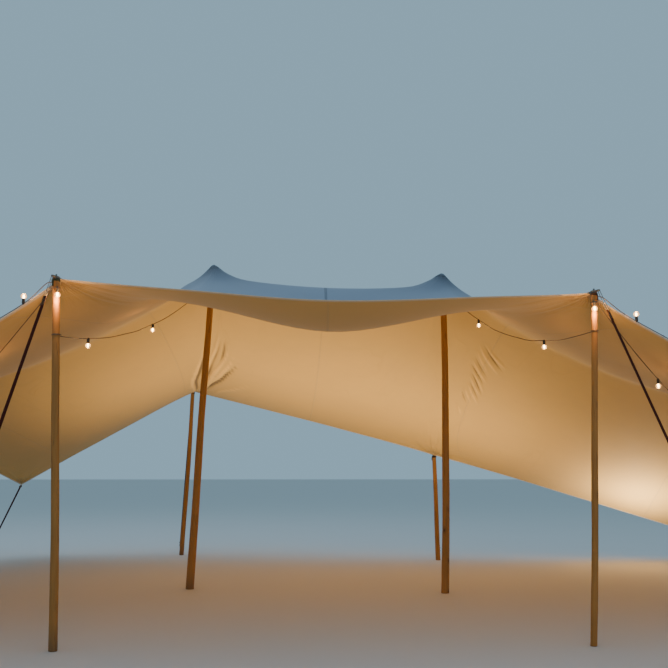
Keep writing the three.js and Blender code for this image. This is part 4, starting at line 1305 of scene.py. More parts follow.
class Cloth:
    """The stretched cloth: its fine surface, and the way to any place on it."""

    def __init__(self):
        net_columns = even_stations(COLUMN_STOPS, COLUMN_COUNTS)
        net_rows = even_stations(ROW_STOPS, ROW_COUNTS)
        net = balanced_net(net_columns, net_rows)
        self.columns = fine_stations(FINE_COLUMN_STOPS, CLOTH_WIDTH)
        self.rows = fine_stations(FINE_ROW_STOPS, CLOTH_DEPTH)
        self.u, self.v = np.meshgrid(self.columns, self.rows, indexing="ij")
        column_kinks = [nearest(net_columns, u) for u in (EDGE_POLE_INSET, CLOTH_WIDTH - EDGE_POLE_INSET)]
        row_kinks = [nearest(net_rows, PEAK_DEPTH)]
        caps = [u + side * PEAK_CAP for u in (PEAK_INSET, CLOTH_WIDTH - PEAK_INSET) for side in (-1, 1)]
        cap_columns = [nearest(net_columns, u) for u in caps]
        cap_rows = [nearest(net_rows, PEAK_DEPTH + side * PEAK_CAP) for side in (-1, 1)]
        across = smooth_weights(net_columns, self.columns)
        across_kinked = smooth_weights(net_columns, self.columns, column_kinks)
        deep = smooth_weights(net_rows, self.rows)
        deep_kinked = smooth_weights(net_rows, self.rows, row_kinks)
        plain = self.spread(across, net, deep)
        to_front_or_rear = np.minimum(self.v, CLOTH_DEPTH - self.v)[..., None]
        to_side = np.minimum(self.u, CLOTH_WIDTH - self.u)[..., None]
        across_capped = smooth_weights(net_columns, self.columns, cap_columns)
        deep_capped = smooth_weights(net_rows, self.rows, cap_rows)
        self.find_supports()
        near_peak = np.where(self.turn > PEAK_ANGLE - 1, np.exp(-((self.reach / PEAK_CAP_REACH) ** 4)), 0)
        turned_across = self.spread(across_kinked, net, deep) - plain
        turned_deep = self.spread(across, net, deep_kinked) - plain
        self.points = (
            plain
            + turned_across * np.exp(-((to_front_or_rear / KINK_REACH) ** 2))
            + turned_deep * np.exp(-((to_side / KINK_REACH) ** 2))
            + (self.spread(across_capped, net, deep_capped) - plain) * near_peak[..., None]
        )
        self.open_peaks()
        self.let_hang()
        self.find_normals()
        self.points = self.points + self.normals * self.folds()[..., None]
        self.find_normals()

    @staticmethod
    def spread(across, net, deep):
        return np.einsum("ai,ijk,bj->abk", across, net, deep, optimize=True)

    def find_normals(self):
        along_u = np.gradient(self.points, self.columns, axis=0)
        along_v = np.gradient(self.points, self.rows, axis=1)
        normals = np.cross(along_u, along_v)
        self.normals = normals / np.linalg.norm(normals, axis=2, keepdims=True)

    def open_peaks(self):
        """Opens the necks under the peaks into cones, as thick cloth stands round a pole's top."""
        for pole in CENTRE_POLES.values():
            reach = np.hypot(self.u - pole["cloth"][0], self.v - pole["cloth"][1])
            spread = np.maximum(reach - PEAK_CAP, 0) / PEAK_OPENING_REACH
            away = self.points[..., :2] - np.array(pole["hold"][:2])
            distance = np.maximum(np.linalg.norm(away, axis=2, keepdims=True), 0.001)
            self.points[..., :2] += away / distance * (PEAK_OPENING * spread * np.exp(1 - spread))[..., None]
            away = self.points[..., :2] - np.array(pole["hold"][:2])
            distance = np.maximum(np.linalg.norm(away, axis=2), 0.001)
            outward = np.sign(pole["hold"][0]) * away[..., 0] / distance
            blunt = np.hypot(distance, PEAK_TIP) - PEAK_TIP
            neck = PEAK_NECK * (1 - np.exp(-blunt / PEAK_NECK_REACH))
            drop = pole["hold"][2] - self.points[..., 2]
            turn = np.arctan2(away[..., 1], away[..., 0])
            waves = np.stack([wave(k * turn) for k in range(3) for wave in (np.cos, np.sin)], axis=-1)
            ring = (distance > PEAK_RING[0]) & (distance < PEAK_RING[1])
            slopes = np.linalg.lstsq(waves[ring], ((drop - neck) / blunt)[ring], rcond=None)[0]
            cone = pole["hold"][2] - (waves @ slopes) * blunt - neck
            near = np.exp(-((distance / PEAK_CONE_REACH) ** 4))
            self.points[..., 2] += (cone - self.points[..., 2]) * near
            for way, rise, place, reach in SHOULDERS:
                shoulder = np.exp(-(((distance - place) / reach) ** 2)) * np.maximum(way * outward, 0) ** 1.5
                self.points[..., 2] += rise * shoulder

    def let_hang(self):
        """Lets the middle of the cloth hang as it does once pitched."""
        for (place_u, place_v), (wide, deep), drop in DIPS:
            share = np.exp(-(((self.u - place_u) / wide) ** 2) - ((self.v - place_v) / deep) ** 2)
            self.points[..., 2] -= drop * share
        from_left = np.maximum(self.u - PEAK_INSET, 0) / RIDGE_END
        from_right = np.maximum(CLOTH_WIDTH - PEAK_INSET - self.u, 0) / RIDGE_END
        between = (1 - np.exp(-(from_left**2))) * (1 - np.exp(-(from_right**2)))
        self.points[..., 2] -= RIDGE_DIP * between * np.exp(-(((self.v - PEAK_DEPTH) / RIDGE_REACH) ** 2))

    def find_supports(self):
        """For every place: the way round its nearest support, and how far that support is."""
        self.turn = np.zeros(self.u.shape)
        self.reach = np.full(self.u.shape, np.inf)
        supports = (*EDGE_POLES.values(), *CORNERS.values(), *CENTRE_POLES.values())
        first_peak = len(supports) - len(CENTRE_POLES)
        for k, support in enumerate(supports):
            across = self.u - support["cloth"][0]
            deep = self.v - support["cloth"][1]
            reach = np.hypot(across, deep)
            closer = reach < self.reach
            turn = np.abs(np.arctan2(across, deep)) + 10 * k + (PEAK_ANGLE if k >= first_peak else 0)
            self.turn[closer] = turn[closer]
            self.reach[closer] = reach[closer]

    def folds(self):
        """How far the cloth stands out from its smooth shape, in the folds that its supports draw."""
        height = np.zeros(self.u.shape)
        for k, support in enumerate((*EDGE_POLES.values(), *CORNERS.values())):
            across = self.u - support["cloth"][0]
            deep = self.v - support["cloth"][1]
            reach = np.hypot(across, deep)
            turn = np.arctan2(across, deep)
            fan = 0.0
            for folds, share in FAN_RAYS:
                fan = fan + share * np.cos(folds * turn + 2.1 * k + folds)
            height += FAN_FOLD * fan * (reach / FAN_RISE) * np.exp(-((reach / FAN_REACH) ** 1.3))
        for route, width, hang in (*GATHER_FOLDS, *PUCKER_FOLDS):
            self.draw_fold(height, route, width, hang)
        self.drawn = height.copy()
        swell = np.sin(1.7 * self.u + 1.1 * self.v) * np.sin(1.3 * self.v - 0.6 * self.u + 1)
        ripple = np.sin(4.3 * self.u - 2.2 * self.v + 0.7) * np.sin(3.1 * self.v + 1.9 * self.u)
        inner = 1 - np.exp(-((np.minimum(self.reach, 2) / SWELL_REACH) ** 2))
        return height + inner * (SWELL * swell + RIPPLE * ripple)

    def draw_fold(self, height, route, width, hang):
        """Adds one fold along its route, fading to nothing at both ends."""
        line = np.array(smooth_line([self.at(u, v) for u, v in route], FOLD_STEP)[0])
        middle = line.mean(axis=0)
        reach = np.linalg.norm(line - middle, axis=1).max() + 4 * width
        near = np.linalg.norm(self.points - middle, axis=2) < reach
        points = self.points[near]
        closest = np.full(len(points), np.inf)
        along = np.zeros(len(points))
        steps = np.diff(line, axis=0)
        for k, (start, step) in enumerate(zip(line, steps)):
            share = np.clip((points - start) @ step / (step @ step), 0, 1)
            offset = points - start - share[:, None] * step
            distance = np.linalg.norm(offset, axis=1)
            closer = distance < closest
            closest[closer] = distance[closer]
            along[closer] = ((k + share) / len(steps))[closer]
        fade = np.sin(np.pi * along)
        height[near] -= hang * fade * np.exp(-((closest / (width * (0.5 + 0.5 * fade))) ** 2))

    def at(self, u, v, height=0.0):
        """The point at a place on the cloth, and at a height over its middle surface."""
        column = min(max(int(np.searchsorted(self.columns, u)) - 1, 0), len(self.columns) - 2)
        row = min(max(int(np.searchsorted(self.rows, v)) - 1, 0), len(self.rows) - 2)
        s = (u - self.columns[column]) / (self.columns[column + 1] - self.columns[column])
        t = (v - self.rows[row]) / (self.rows[row + 1] - self.rows[row])
        corner = np.s_[column : column + 2, row : row + 2]
        share = np.array([[(1 - s) * (1 - t), (1 - s) * t], [s * (1 - t), s * t]])[..., None]
        point = (self.points[corner] * share).sum(axis=(0, 1))
        normal = (self.normals[corner] * share).sum(axis=(0, 1))
        return Vector(point + normal * height)

    def canopy(self):
        """One closed sheet, thicker in its folded hem, with an under side, an outer side and the hem."""
        wide, deep = self.u.shape
        across = np.minimum(self.u, CLOTH_WIDTH - self.u)
        along = np.minimum(self.v, CLOTH_DEPTH - self.v)
        rim_distance = np.minimum(across, along)
        half = np.interp(rim_distance, HEM_STEPS, HEM_HALVES)[..., None]
        outer = (self.points + self.normals * half).reshape(-1, 3)
        under = (self.points - self.normals * half).reshape(-1, 3)
        index = np.arange(wide * deep).reshape(wide, deep)
        corners = (index[:-1, :-1], index[1:, :-1], index[1:, 1:], index[:-1, 1:])
        top = np.stack(corners, axis=2).reshape(-1, 4)
        bottom = top[:, [0, 3, 2, 1]] + wide * deep
        rim = np.concatenate((index[:-1, 0], index[-1, :-1], index[:0:-1, -1], index[0, :0:-1]))
        onward = np.roll(rim, -1)
        sides = np.stack((onward, rim, rim + wide * deep, onward + wide * deep), axis=1)
        points = np.concatenate((outer, under)).tolist()
        faces = np.concatenate((top, bottom, sides)).tolist()
        data = bpy.data.meshes.new("canopy_cloth")
        data.from_pydata(points, [], faces)
        loops = np.empty(len(data.loops), dtype=np.int32)
        data.loops.foreach_get("vertex_index", loops)
        loops = loops % (wide * deep)
        for name, first, second in (("flat", self.u, self.v), ("support", self.turn, self.reach)):
            layer = data.uv_layers.new(name=name)
            pairs = np.stack((first.ravel()[loops], second.ravel()[loops]), axis=1)
            layer.uv.foreach_set("vector", pairs.ravel())
        fold = data.attributes.new("fold", "FLOAT", "POINT")
        fold.data.foreach_set("value", np.tile(self.drawn.ravel(), 2).astype(np.float32))
        middle = (rim_distance[:-1, :-1] + rim_distance[1:, 1:]) / 2
        in_hem = (middle < HEM_WIDTH).ravel()
        slots = np.concatenate((np.where(in_hem, 2, 1), np.where(in_hem, 2, 0), np.full(len(sides), 2)))
        data.polygons.foreach_set("material_index", slots.astype(np.int32))
        data.update()
        return put_in_scene("canopy_cloth", data)

    def tail_strips(self, name, support):
        """Webbing tails sewn to both faces of the cloth, that run in from a support."""
        u, v = support["cloth"]
        inward_u = CLOTH_WIDTH / 2 - u if u in (0, CLOTH_WIDTH) else 0
        inward_v = CLOTH_DEPTH / 2 - v if v in (0, CLOTH_DEPTH) else 0
        inward = math.atan2(inward_v, inward_u)
        points = []
        faces = []
        places = []
        for turn in TAIL_TURNS:
            heading = inward + math.radians(turn)
            for side in (1, -1):
                self.add_tail((u, v), heading, side, points, faces, places)
        data = bpy.data.meshes.new(name)
        data.from_pydata(points, [], faces)
        set_made(data, places)
        data.update()
        piece = put_in_scene(name, data)
        with editing(piece):
            bpy.ops.mesh.select_all(action="SELECT")
            bpy.ops.mesh.normals_make_consistent(inside=False)
        return piece

    def add_tail(self, start, heading, side, points, faces, places):
        """Adds one tail on one face of the cloth: its points, its faces and the places of its pattern."""
        along_u, along_v = math.cos(heading), math.sin(heading)
        rings = []
        for step in range(TAIL_STEPS + 1):
            distance = TAIL_START + (TAIL_LENGTH - TAIL_START) * step / TAIL_STEPS
            half_width = TAIL_WIDTH / 2 * min(1, 0.5 + distance / TAIL_WIDENING)
            ring = []
            for is_outside in (True, False):
                for across in TAIL_ACROSS if is_outside else reversed(TAIL_ACROSS):
                    aside = across * half_width
                    u = start[0] + along_u * distance - along_v * aside
                    v = start[1] + along_v * distance + along_u * aside
                    u = min(max(u, 0), CLOTH_WIDTH)
                    v = min(max(v, 0), CLOTH_DEPTH)
                    rim = min(u, CLOTH_WIDTH - u, v, CLOTH_DEPTH - v)
                    lift = np.interp(rim, HEM_STEPS, HEM_HALVES)
                    edge = TAIL_THICKNESS * (0.5 if abs(across) == 1 else 1)
                    height = side * (lift + edge if is_outside else lift - TAIL_SINK)
                    ring.append(len(points))
                    points.append(self.at(u, v, height))
                    places.append((TAIL_LENGTH - distance, aside, 0.1 * side))
            rings.append(ring)
        for near, far in zip(rings, rings[1:]):
            count = len(near)
            for k in range(count):
                after = (k + 1) % count
                faces.append((near[k], near[after], far[after], far[k]))
        faces.append(tuple(rings[0]))
        faces.append(tuple(rings[-1]))


def shape_rings(piece, change):
    """Moves and sizes an upright piece ring by ring; the change gives each height its move and its size."""
    with editing(piece):
        bpy.ops.mesh.select_mode(type="VERT")
        mesh = bmesh.from_edit_mesh(piece.data)
        rings = {}
        for point in mesh.verts:
            rings.setdefault(round(point.co.z, 4), []).append(point)
        for height, ring in sorted(rings.items()):
            for point in ring:
                point.select_set(True)
            move, size = change(height)
            size_picked(size, size, 1, height)
            move_picked(*move)
            for point in ring:
                point.select_set(False)


def pole_top(support, pole_node):
    """The middle of a pole's level top: over the foot's lean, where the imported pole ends."""
    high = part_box(pole_node)[1]
    x, y, _ = support["hold"]
    if "stake" in support:
        outward = level_direction(support["hold"], support["stake"])
        x += outward.x * PIN_REACH
        y += outward.y * PIN_REACH
    return Vector((x, y, high[2]))


def pole_axis_at(support, top, height):
    """The middle of a pole at a height, on its lean and its bend."""
    share = height / top.z
    bend = support["bend"] * math.sin(math.pi * share)
    return Vector(support["foot"]).lerp(top, share) + Vector((bend, 0, 0))


def pole_radius(support, top, height):
    foot_radius, top_radius = support["radii"]
    return foot_radius + (top_radius - foot_radius) * height / top.z


def make_pole(name, support, turn):
    """A peeled trunk: it tapers, wanders a little about its axis and swells at its knots."""
    top = pole_top(support, f"{name}_pole")
    foot_radius = support["radii"][0]
    pole = add_round(f"{name}_pole_timber", foot_radius, 0, top.z, POLE_SIDES)
    with editing(pole):
        pick_rims(pole)
        bevel_picked(POLE_ROUNDING, 3)
        pick_edges(pole, lambda a, b: abs(a.z - b.z) > 0.1)
        bpy.ops.mesh.subdivide(number_cuts=int(top.z / POLE_RING_STEP))
    keep_made(pole, (turn * 0.37, turn * 0.61, turn * 1.7 if turn % 2 else 0))
    bark = []
    for point in pole.data.vertices:
        if BARK_MARGIN < point.co.z < top.z - BARK_MARGIN:
            bark.append(point.index)
    pole.vertex_groups.new(name="bark").add(bark, 1, "REPLACE")

    def lean(height):
        share = height / top.z
        slack = math.sin(math.pi * share)
        wander_x = POLE_WANDER * slack * math.sin(2.3 * height + turn)
        wander_y = POLE_WANDER * slack * math.cos(1.9 * height + 2 * turn)
        axis = pole_axis_at(support, top, height)
        swell = POLE_SWELL * math.sin(5.1 * height + turn) * slack
        size = pole_radius(support, top, height) / foot_radius + swell
        return (axis.x + wander_x, axis.y + wander_y, 0), size

    shape_rings(pole, lean)
    for noise_size, strength in BARK_WAVES:
        waves = bpy.data.textures.new("bark waves", "CLOUDS")
        waves.noise_scale = noise_size
        finish_with(
            pole,
            "DISPLACE",
            texture=waves,
            strength=strength,
            vertex_group="bark",
            texture_coords="LOCAL",
        )
    smooth(pole, 50)
    ready(pole, [f"{name}_pole"], "timber", TIMBER)


def model_pin():
    """A turned foot plate with the pin that stands on it; its disc's top is at height zero."""

    def on_disc_rim(a, b):
        reach = min(math.hypot(a.x, a.y), math.hypot(b.x, b.y))
        return a.z == b.z and reach > PIN_DISC_RADIUS - 0.001

    pin = add_round("pin", PIN_DISC_RADIUS, -PIN_DISC_THICKNESS, 0, 40)
    with editing(pin):
        pick_top(pin)
        bpy.ops.mesh.inset(thickness=PIN_DISC_RADIUS - PIN_RADIUS)
        raise_picked(PIN_LENGTH)
        pick_edges(pin, lambda a, b: a.z > 0.03 and b.z > 0.03)
        bevel_picked(0.0032, 3)
        pick_edges(pin, on_disc_rim)
        bevel_picked(0.0012, 2)
    groove = add_ring("groove", PIN_RADIUS, PIN_GROOVE_ROD, PIN_GROOVE_HEIGHT, 40, 8)
    carve(pin, groove, "DIFFERENCE")
    keep_made(pin)
    smooth(pin, 35)
    return pin


def model_plate():
    """The ring plate on the cloth's edge: X runs outward from the rim, past the hole for the pin."""
    half = PLATE_THICKNESS / 2
    plate = add_round("plate", PLATE_RING_RADIUS, -half, half, 48)
    move_piece(plate, (PIN_REACH, 0, 0))
    lug = add_round("lug", PLATE_LUG_RADIUS, -half, half, 32)
    move_piece(lug, (LUG_REACH, 0, 0))
    neck = add_block("neck", (PIN_REACH, -PLATE_NECK_HALF, -half), (LUG_REACH, PLATE_NECK_HALF, half))
    tip = add_block("tip", (0.001, -PLATE_TIP_HALF, -half), (PIN_REACH - 0.012, PLATE_TIP_HALF, half))
    with editing(tip):
        pick_points(tip, lambda point: point.x < 0.01)
        size_picked(1, PLATE_TIP_NARROWING, 1)
    for part in (lug, neck, tip):
        carve(plate, part, "UNION")
    for radius, reach, sides in ((HOLE_RADIUS, PIN_REACH, 40), (EYE_RADIUS, LUG_REACH, 24)):
        bore = add_round("bore", radius, -0.02, 0.02, sides)
        move_piece(bore, (reach, 0, 0))
        carve(plate, bore, "DIFFERENCE")
    round_edges(plate, 0.0014)
    collar = add_ring("collar", COLLAR_RADIUS, COLLAR_ROD, half, 40, 10)
    size_whole(collar, 1, 1, 0.7, half)
    plate = join("plate", [plate, collar])
    keep_made(plate)
    smooth(plate, 35)
    return plate


def model_link():
    """An oblong link of round rod: X runs along it, from the middle of one end's rod to the other's."""
    link = add_ring("link", LINK_HALF_WIDTH, LINK_ROD, 0, 32, 14)
    with editing(link):
        pick_points(link, lambda point: point.x > 0.0001)
        move_picked(LINK_LENGTH - 2 * LINK_HALF_WIDTH, 0, 0)
    on_edge = Matrix.Rotation(math.radians(90), 4, "X")
    link.data.transform(on_edge @ Matrix.Translation((LINK_HALF_WIDTH, 0, 0)))
    keep_made(link)
    smooth(link, 60)
    return link


def webbing_length(name, length, doubled):
    """Flat webbing along X from the origin, doubled over and sewn down at the ends that are named."""
    half_width = WEBBING_WIDTH / 2
    half = WEBBING_THICKNESS / 2

    def on_long_edge(a, b):
        return min(abs(a.y), abs(b.y)) > half_width - 0.0001 and abs(a.x - b.x) > 0.001

    layers = [(0, length, -half, half)]
    if "start" in doubled:
        layers.append((0.0, DOUBLED_LENGTH, half - WEBBING_SINK, DOUBLED_TOP))
    if "end" in doubled:
        layers.append((length - DOUBLED_LENGTH, length, half - WEBBING_SINK, DOUBLED_TOP))
    pieces = []
    for start, end, low, high in layers:
        layer = add_block(name, (start, -half_width, low), (end, half_width, high))
        with editing(layer):
            pick_lengthwise(layer)
            bpy.ops.mesh.subdivide(number_cuts=max(int((end - start) / WEBBING_STEP), 2))
            pick_edges(layer, lambda a, b: abs(a.y - b.y) > 0.01)
            bpy.ops.mesh.subdivide(number_cuts=5)
            pick_edges(layer, on_long_edge)
            bevel_picked(0.0009, 2)
        pieces.append(layer)
    return join(name, pieces)


def webbing_roll():
    """The turn that webbing takes round a rod at the strap's start."""
    half_width = WEBBING_WIDTH / 2 - 0.001
    roll = add_round("roll", ROLL_RADIUS, -half_width, half_width, 20)
    with editing(roll):
        pick_rims(roll)
        bevel_picked(0.0012, 2)
    across = Matrix.Rotation(math.radians(90), 4, "X")
    roll.data.transform(Matrix.Translation((0, 0, ROLL_HEIGHT)) @ across)
    return roll


def stake_loop(support):
    """The webbing's loop round the stake, lying level."""
    loop = add_ring("loop", LOOP_MIDDLE_RADIUS, LOOP_ROD, 0, 32, 10)
    size_whole(loop, 1, 1, LOOP_FLATNESS)
    keep_made(loop)
    x, y, _ = support["stake"]
    move_piece(loop, (x, y, LOOP_HEIGHT))
    return loop


def wound_turn(number, tip, size, radius):
    """One turn of webbing round the upright axis, puckered, and tipped so that it crosses the others."""
    turn = add_ring("turn", radius * size, BINDING_HALF, 0, 60, 10)
    size_whole(turn, 1, 1, BINDING_WIDTH / 2 / BINDING_HALF)
    keep_wound(turn, radius)
    with editing(turn):
        for wave in range(4):
            way = 1.9 * wave + number + size
            pick_points(turn, lambda point, way=way: math.cos(math.atan2(point.y, point.x) - way) > 0.93)
            move_picked(0, 0, BINDING_PUCKER if wave % 2 else -BINDING_PUCKER)
        bpy.ops.mesh.select_all(action="SELECT")
        bpy.ops.transform.rotate(
            value=math.radians(tip), orient_axis="X" if number % 2 else "Y", center_override=(0, 0, 0)
        )
    return turn


def hanging_end(number, radius):
    """The webbing's free end, which curls as it hangs beside the pole."""
    half_width = BINDING_WIDTH / 2
    end = add_block("end", (-BINDING_END, -half_width, -BINDING_HALF), (0, half_width, BINDING_HALF))
    with editing(end):
        pick_lengthwise(end)
        bpy.ops.mesh.subdivide(number_cuts=BINDING_END_CUTS)
    keep_made(end, (BINDING_END + PLAIN_FROM, 0, 0))
    lengths = BINDING_END_CUTS + 1
    with editing(end):
        for step in range(1, lengths + 1):
            reach = BINDING_END * (step - 0.5) / lengths
            pick_points(end, lambda point, reach=reach: point.x < -reach)
            move_picked(0, 0, 0.00036 * step - 0.0022)
    round_edges(end, 0.0005, 1)
    round_pole = Matrix.Rotation(math.radians(250 + 50 * number), 4, "Z")
    outward = Matrix.Translation((radius * BINDING_END_OUT, 0, -BINDING_END_DROP))
    end.data.transform(round_pole @ outward @ Matrix.Rotation(math.radians(-90), 4, "Y"))
    return end


def make_binding(name, support, number, material):
    """Webbing wound tightly round a pole's top, its turns crossing, with its free end hanging."""
    radius = support["radii"][1] + BINDING_HALF
    pieces = []
    for drop, tip, size in BINDING_TURNS:
        turn = wound_turn(number, tip, size, radius)
        move_piece(turn, (0, 0, -drop))
        pieces.append(turn)
    binding = join(f"{name}_pole_binding", [*pieces, hanging_end(number, radius)])
    smooth(binding, 50)
    move_piece(binding, pole_top(support, f"{name}_pole"))
    ready(binding, [], "webbing", material)


def make_guy(name, support, material):
    """The taut guy from its link down to the stake."""
    lug = Vector(support["hold"]) + level_direction(support["hold"], support["stake"]) * LUG_REACH
    end = strap_end(support)
    down = (end - lug).normalized()
    start = lug + down * LINK_LENGTH
    strap = webbing_length(f"{name}_guy_webbing", (end - start).length, ("start", "end"))
    strap = join(strap.name, [strap, webbing_roll()])
    keep_made(strap)
    strap.data.transform(frame_along(start, down))
    strap = join(strap.name, [strap, stake_loop(support)])
    smooth(strap, 40)
    ready(strap, [f"{name}_guy_strap"], "webbing", material)


def make_corner_strap(name, support, material):
    """A sewn tongue at the cloth's corner, and the webbing from it to the stake."""
    hold = Vector(support["hold"])
    end = strap_end(support)
    down = (end - hold).normalized()
    near_corner = (0.002, -TONGUE_HALF_WIDTH, -TONGUE_HALF)
    tongue = add_block("tongue", near_corner, (TONGUE_LENGTH, TONGUE_HALF_WIDTH, TONGUE_HALF))
    with editing(tongue):
        pick_lengthwise(tongue)
        bpy.ops.mesh.subdivide(number_cuts=1)
        pick_points(tongue, lambda point: point.x < 0.01)
        size_picked(1, TONGUE_NARROWING, 1)
    round_edges(tongue, 0.0016)
    length = (end - hold).length - TONGUE_LENGTH + TONGUE_OVERLAP
    strap = webbing_length(f"{name}_webbing", length, ("end",))
    move_piece(strap, (TONGUE_LENGTH - TONGUE_OVERLAP, 0, 0))
    strap = join(strap.name, [strap, tongue])
    keep_made(strap)
    strap.data.transform(frame_along(hold, down))
    strap = join(strap.name, [strap, stake_loop(support)])
    smooth(strap, 40)
    ready(strap, [f"{name}_strap"], "webbing", material)


def model_stake():
    """A round steel stake, its head spread by hammering."""
    stake = add_round("stake", STAKE_RADIUS, 0, STAKE_HEIGHT, 28)
    with editing(stake):
        pick_top(stake)
        for rise, spread in STAKE_HEAD:
            raise_picked(rise)
            size_picked(spread, spread, 1, STAKE_HEIGHT)
        bpy.ops.mesh.inset(thickness=0.008)
        move_picked(0.0008, 0, 0.0009)
        pick_edges(stake, lambda a, b: a.z == b.z and STAKE_HEIGHT + 0.003 < a.z < STAKE_HEIGHT + 0.012)
        bevel_picked(0.001, 2)
    keep_made(stake)
    smooth(stake, 35)
    return stake


def model_pad():
    """A ribbed rubber cone for the cloth: its tip is at height zero, its skirt hangs below."""
    radius, height = PAD_OUTLINE[0]
    pad = add_round("pad", radius, -PAD_DEPTH, height, 48)
    with editing(pad):
        pick_top(pad)
        for next_radius, next_height in PAD_OUTLINE[1:]:
            raise_picked(next_height - height)
            size_picked(next_radius / radius, next_radius / radius, 1)
            radius, height = next_radius, next_height
    pieces = [pad]
    for height in PAD_RIB_HEIGHTS:
        rib = add_ring("rib", PAD_RADIUS - PAD_RIB_ROD, PAD_RIB_ROD, height, 48, 8)
        size_whole(rib, 1, 1, 0.8, height)
        pieces.append(rib)
    pad = join("pad", pieces)
    keep_made(pad)
    smooth(pad, 40)
    return pad


def model_holder():
    """A lamp's ribbed holder, hollow where the bulb goes in, with its neck up to the cable."""
    holder = add_round("holder", HOLDER_RADIUS, -HOLDER_LENGTH, -HOLDER_SHOULDER, 24)
    with editing(holder):
        pick_edges(holder, lambda a, b: abs(a.z - b.z) > 0.01)
        bpy.ops.mesh.subdivide(number_cuts=9)
        for rib in HOLDER_RIBS:
            pick_points(holder, lambda point, rib=rib: abs(point.z - rib) < 0.0021)
            size_picked(0.88, 0.88, 1, rib)
        pick(holder, "FACE", lambda face: face.normal.z < -0.9)
        bpy.ops.mesh.inset(thickness=0.002)
        raise_picked(0.004)
        pick_top(holder)
        raise_picked(0.007)
        size_picked(0.62, 0.62, 1)
        raise_picked(0.0055)
        size_picked(0.8, 0.8, 1)
    round_edges(holder, 0.0006, 2, 50)
    return holder


def model_bulb():
    """A round bulb, its neck drawn up into the holder."""
    bulb = add_ball("bulb", BULB_RADIUS, -BULB_CENTRE, 32, 18)
    with editing(bulb):
        pick_points(bulb, lambda point: point.z > 0.021 - BULB_CENTRE)
        move_picked(0, 0, 0.006)
        pick_points(bulb, lambda point: point.z > 0.0172 - BULB_CENTRE)
        size_picked(0.86, 0.86, 1)
        pick_points(bulb, lambda point: point.z < -0.0235 - BULB_CENTRE)
        move_picked(0, 0, -0.0006)
    return bulb


def model_filament():
    """The lit middle of a bulb, long and a little waisted."""
    filament = add_ball("filament", FILAMENT_RADIUS, -FILAMENT_CENTRE, 16, 10)
    size_whole(filament, 0.8, 0.8, 1.5, -FILAMENT_CENTRE)
    with editing(filament):
        pick_points(filament, lambda point: abs(point.z + FILAMENT_CENTRE) < 0.003)
        size_picked(0.85, 0.85, 1)
    return filament


def model_lamp_parts():
    """A hanging lamp's holder, bulb and filament, with the cable's middle at the origin."""
    parts = (model_holder(), model_bulb(), model_filament())
    for part in parts:
        keep_made(part)
        smooth(part, 45)
    return parts


def smooth_line(points, step):
    """Even points on the centripetal curve through a few points, from the first to the last."""
    knots = [Vector(point) for point in points]
    knots = [knots[0] * 2 - knots[1], *knots, knots[-1] * 2 - knots[-2]]
    dense = []
    for a, b, c, d in zip(knots, knots[1:], knots[2:], knots[3:]):
        t1 = (b - a).length ** 0.5
        t2 = t1 + (c - b).length ** 0.5
        t3 = t2 + (d - c).length ** 0.5
        for k in range(24):
            t = t1 + (t2 - t1) * k / 24
            ab = a.lerp(b, t / t1)
            bc = b.lerp(c, (t - t1) / (t2 - t1))
            cd = c.lerp(d, (t - t2) / (t3 - t2))
            abc = ab.lerp(bc, t / t2)
            bcd = bc.lerp(cd, (t - t1) / (t3 - t1))
            dense.append(abc.lerp(bcd, (t - t1) / (t2 - t1)))
    dense.append(knots[-2])
    lengths = [0.0]
    for near, far in zip(dense, dense[1:]):
        lengths.append(lengths[-1] + (far - near).length)
    count = max(int(lengths[-1] / step), 2)
    distances = np.linspace(0, lengths[-1], count + 1)
    columns = [np.interp(distances, lengths, [point[axis] for point in dense]) for axis in range(3)]
    return [Vector(point) for point in zip(*columns)], lengths[-1]


def make_cable(name, points):
    """One curve through the points, as thick as the cable."""
    data = bpy.data.curves.new(name, "CURVE")
    data.dimensions = "3D"
    data.bevel_depth = CABLE_DIAMETER / 2
    data.bevel_resolution = 3
    data.use_fill_caps = True
    spline = data.splines.new("POLY")
    spline.points.add(len(points) - 1)
    for knot, point in zip(spline.points, points):
        knot.co = (*point, 1)
    return put_in_scene(name, data)


def cable_mesh(name, points, radius=CABLE_DIAMETER / 2):
    """A closed cable as a mesh, with its points' places kept for its pattern."""
    cable = make_cable(name, points)
    cable.data.bevel_depth = radius
    choose(cable)
    bpy.ops.object.convert(target="MESH")
    with editing(cable):
        bpy.ops.mesh.select_all(action="SELECT")
        bpy.ops.mesh.remove_doubles(threshold=0.00001)
        bpy.ops.mesh.normals_make_consistent(inside=False)
    keep_made(cable)
    smooth(cable, 60)
    return cable


def lamp_spots(points, length, first_lamp, spacing, end_room):
    """Even places along a cable, from its first lamp to some way before its end."""
    spots = []
    distance = first_lamp
    step = length / (len(points) - 1)
    while distance < length - end_room:
        before = min(int(distance / step), len(points) - 2)
        spots.append(points[before].lerp(points[before + 1], distance / step - before))
        distance += spacing
    return spots


def lamps_at(name, spots, upward):
    """The lamps of one string: its holders, its bulbs and their filaments, as three pieces."""
    light_offset = Vector((0, 0, LAMP_LIGHT_DROP if upward else -LAMP_LIGHT_DROP))
    for spot in spots:
        light_lamp(spot + light_offset, LAMP_POWER)
    pieces = []
    kinds = (("holders", HOLDER_BLACK), ("bulbs", BULB_GLASS), ("filaments", GLOW))
    for model, (part, material) in zip(LAMP_MODELS, kinds):
        copies = []
        for k, spot in enumerate(spots):
            turn = Matrix.Rotation(math.pi if upward else 0, 4, "Y") @ Matrix.Rotation(0.7 * k, 4, "Z")
            copy = place_copy(model, f"{name}_{part}_{k}", Matrix.Translation(spot) @ turn)
            shift_made(copy, (0.13 * k, 0.07 * k, 0))
            copies.append(copy)
        pieces.append(ready(join(f"{name}_lamp_{part}", copies), [], "lamp_string", material))
    return pieces


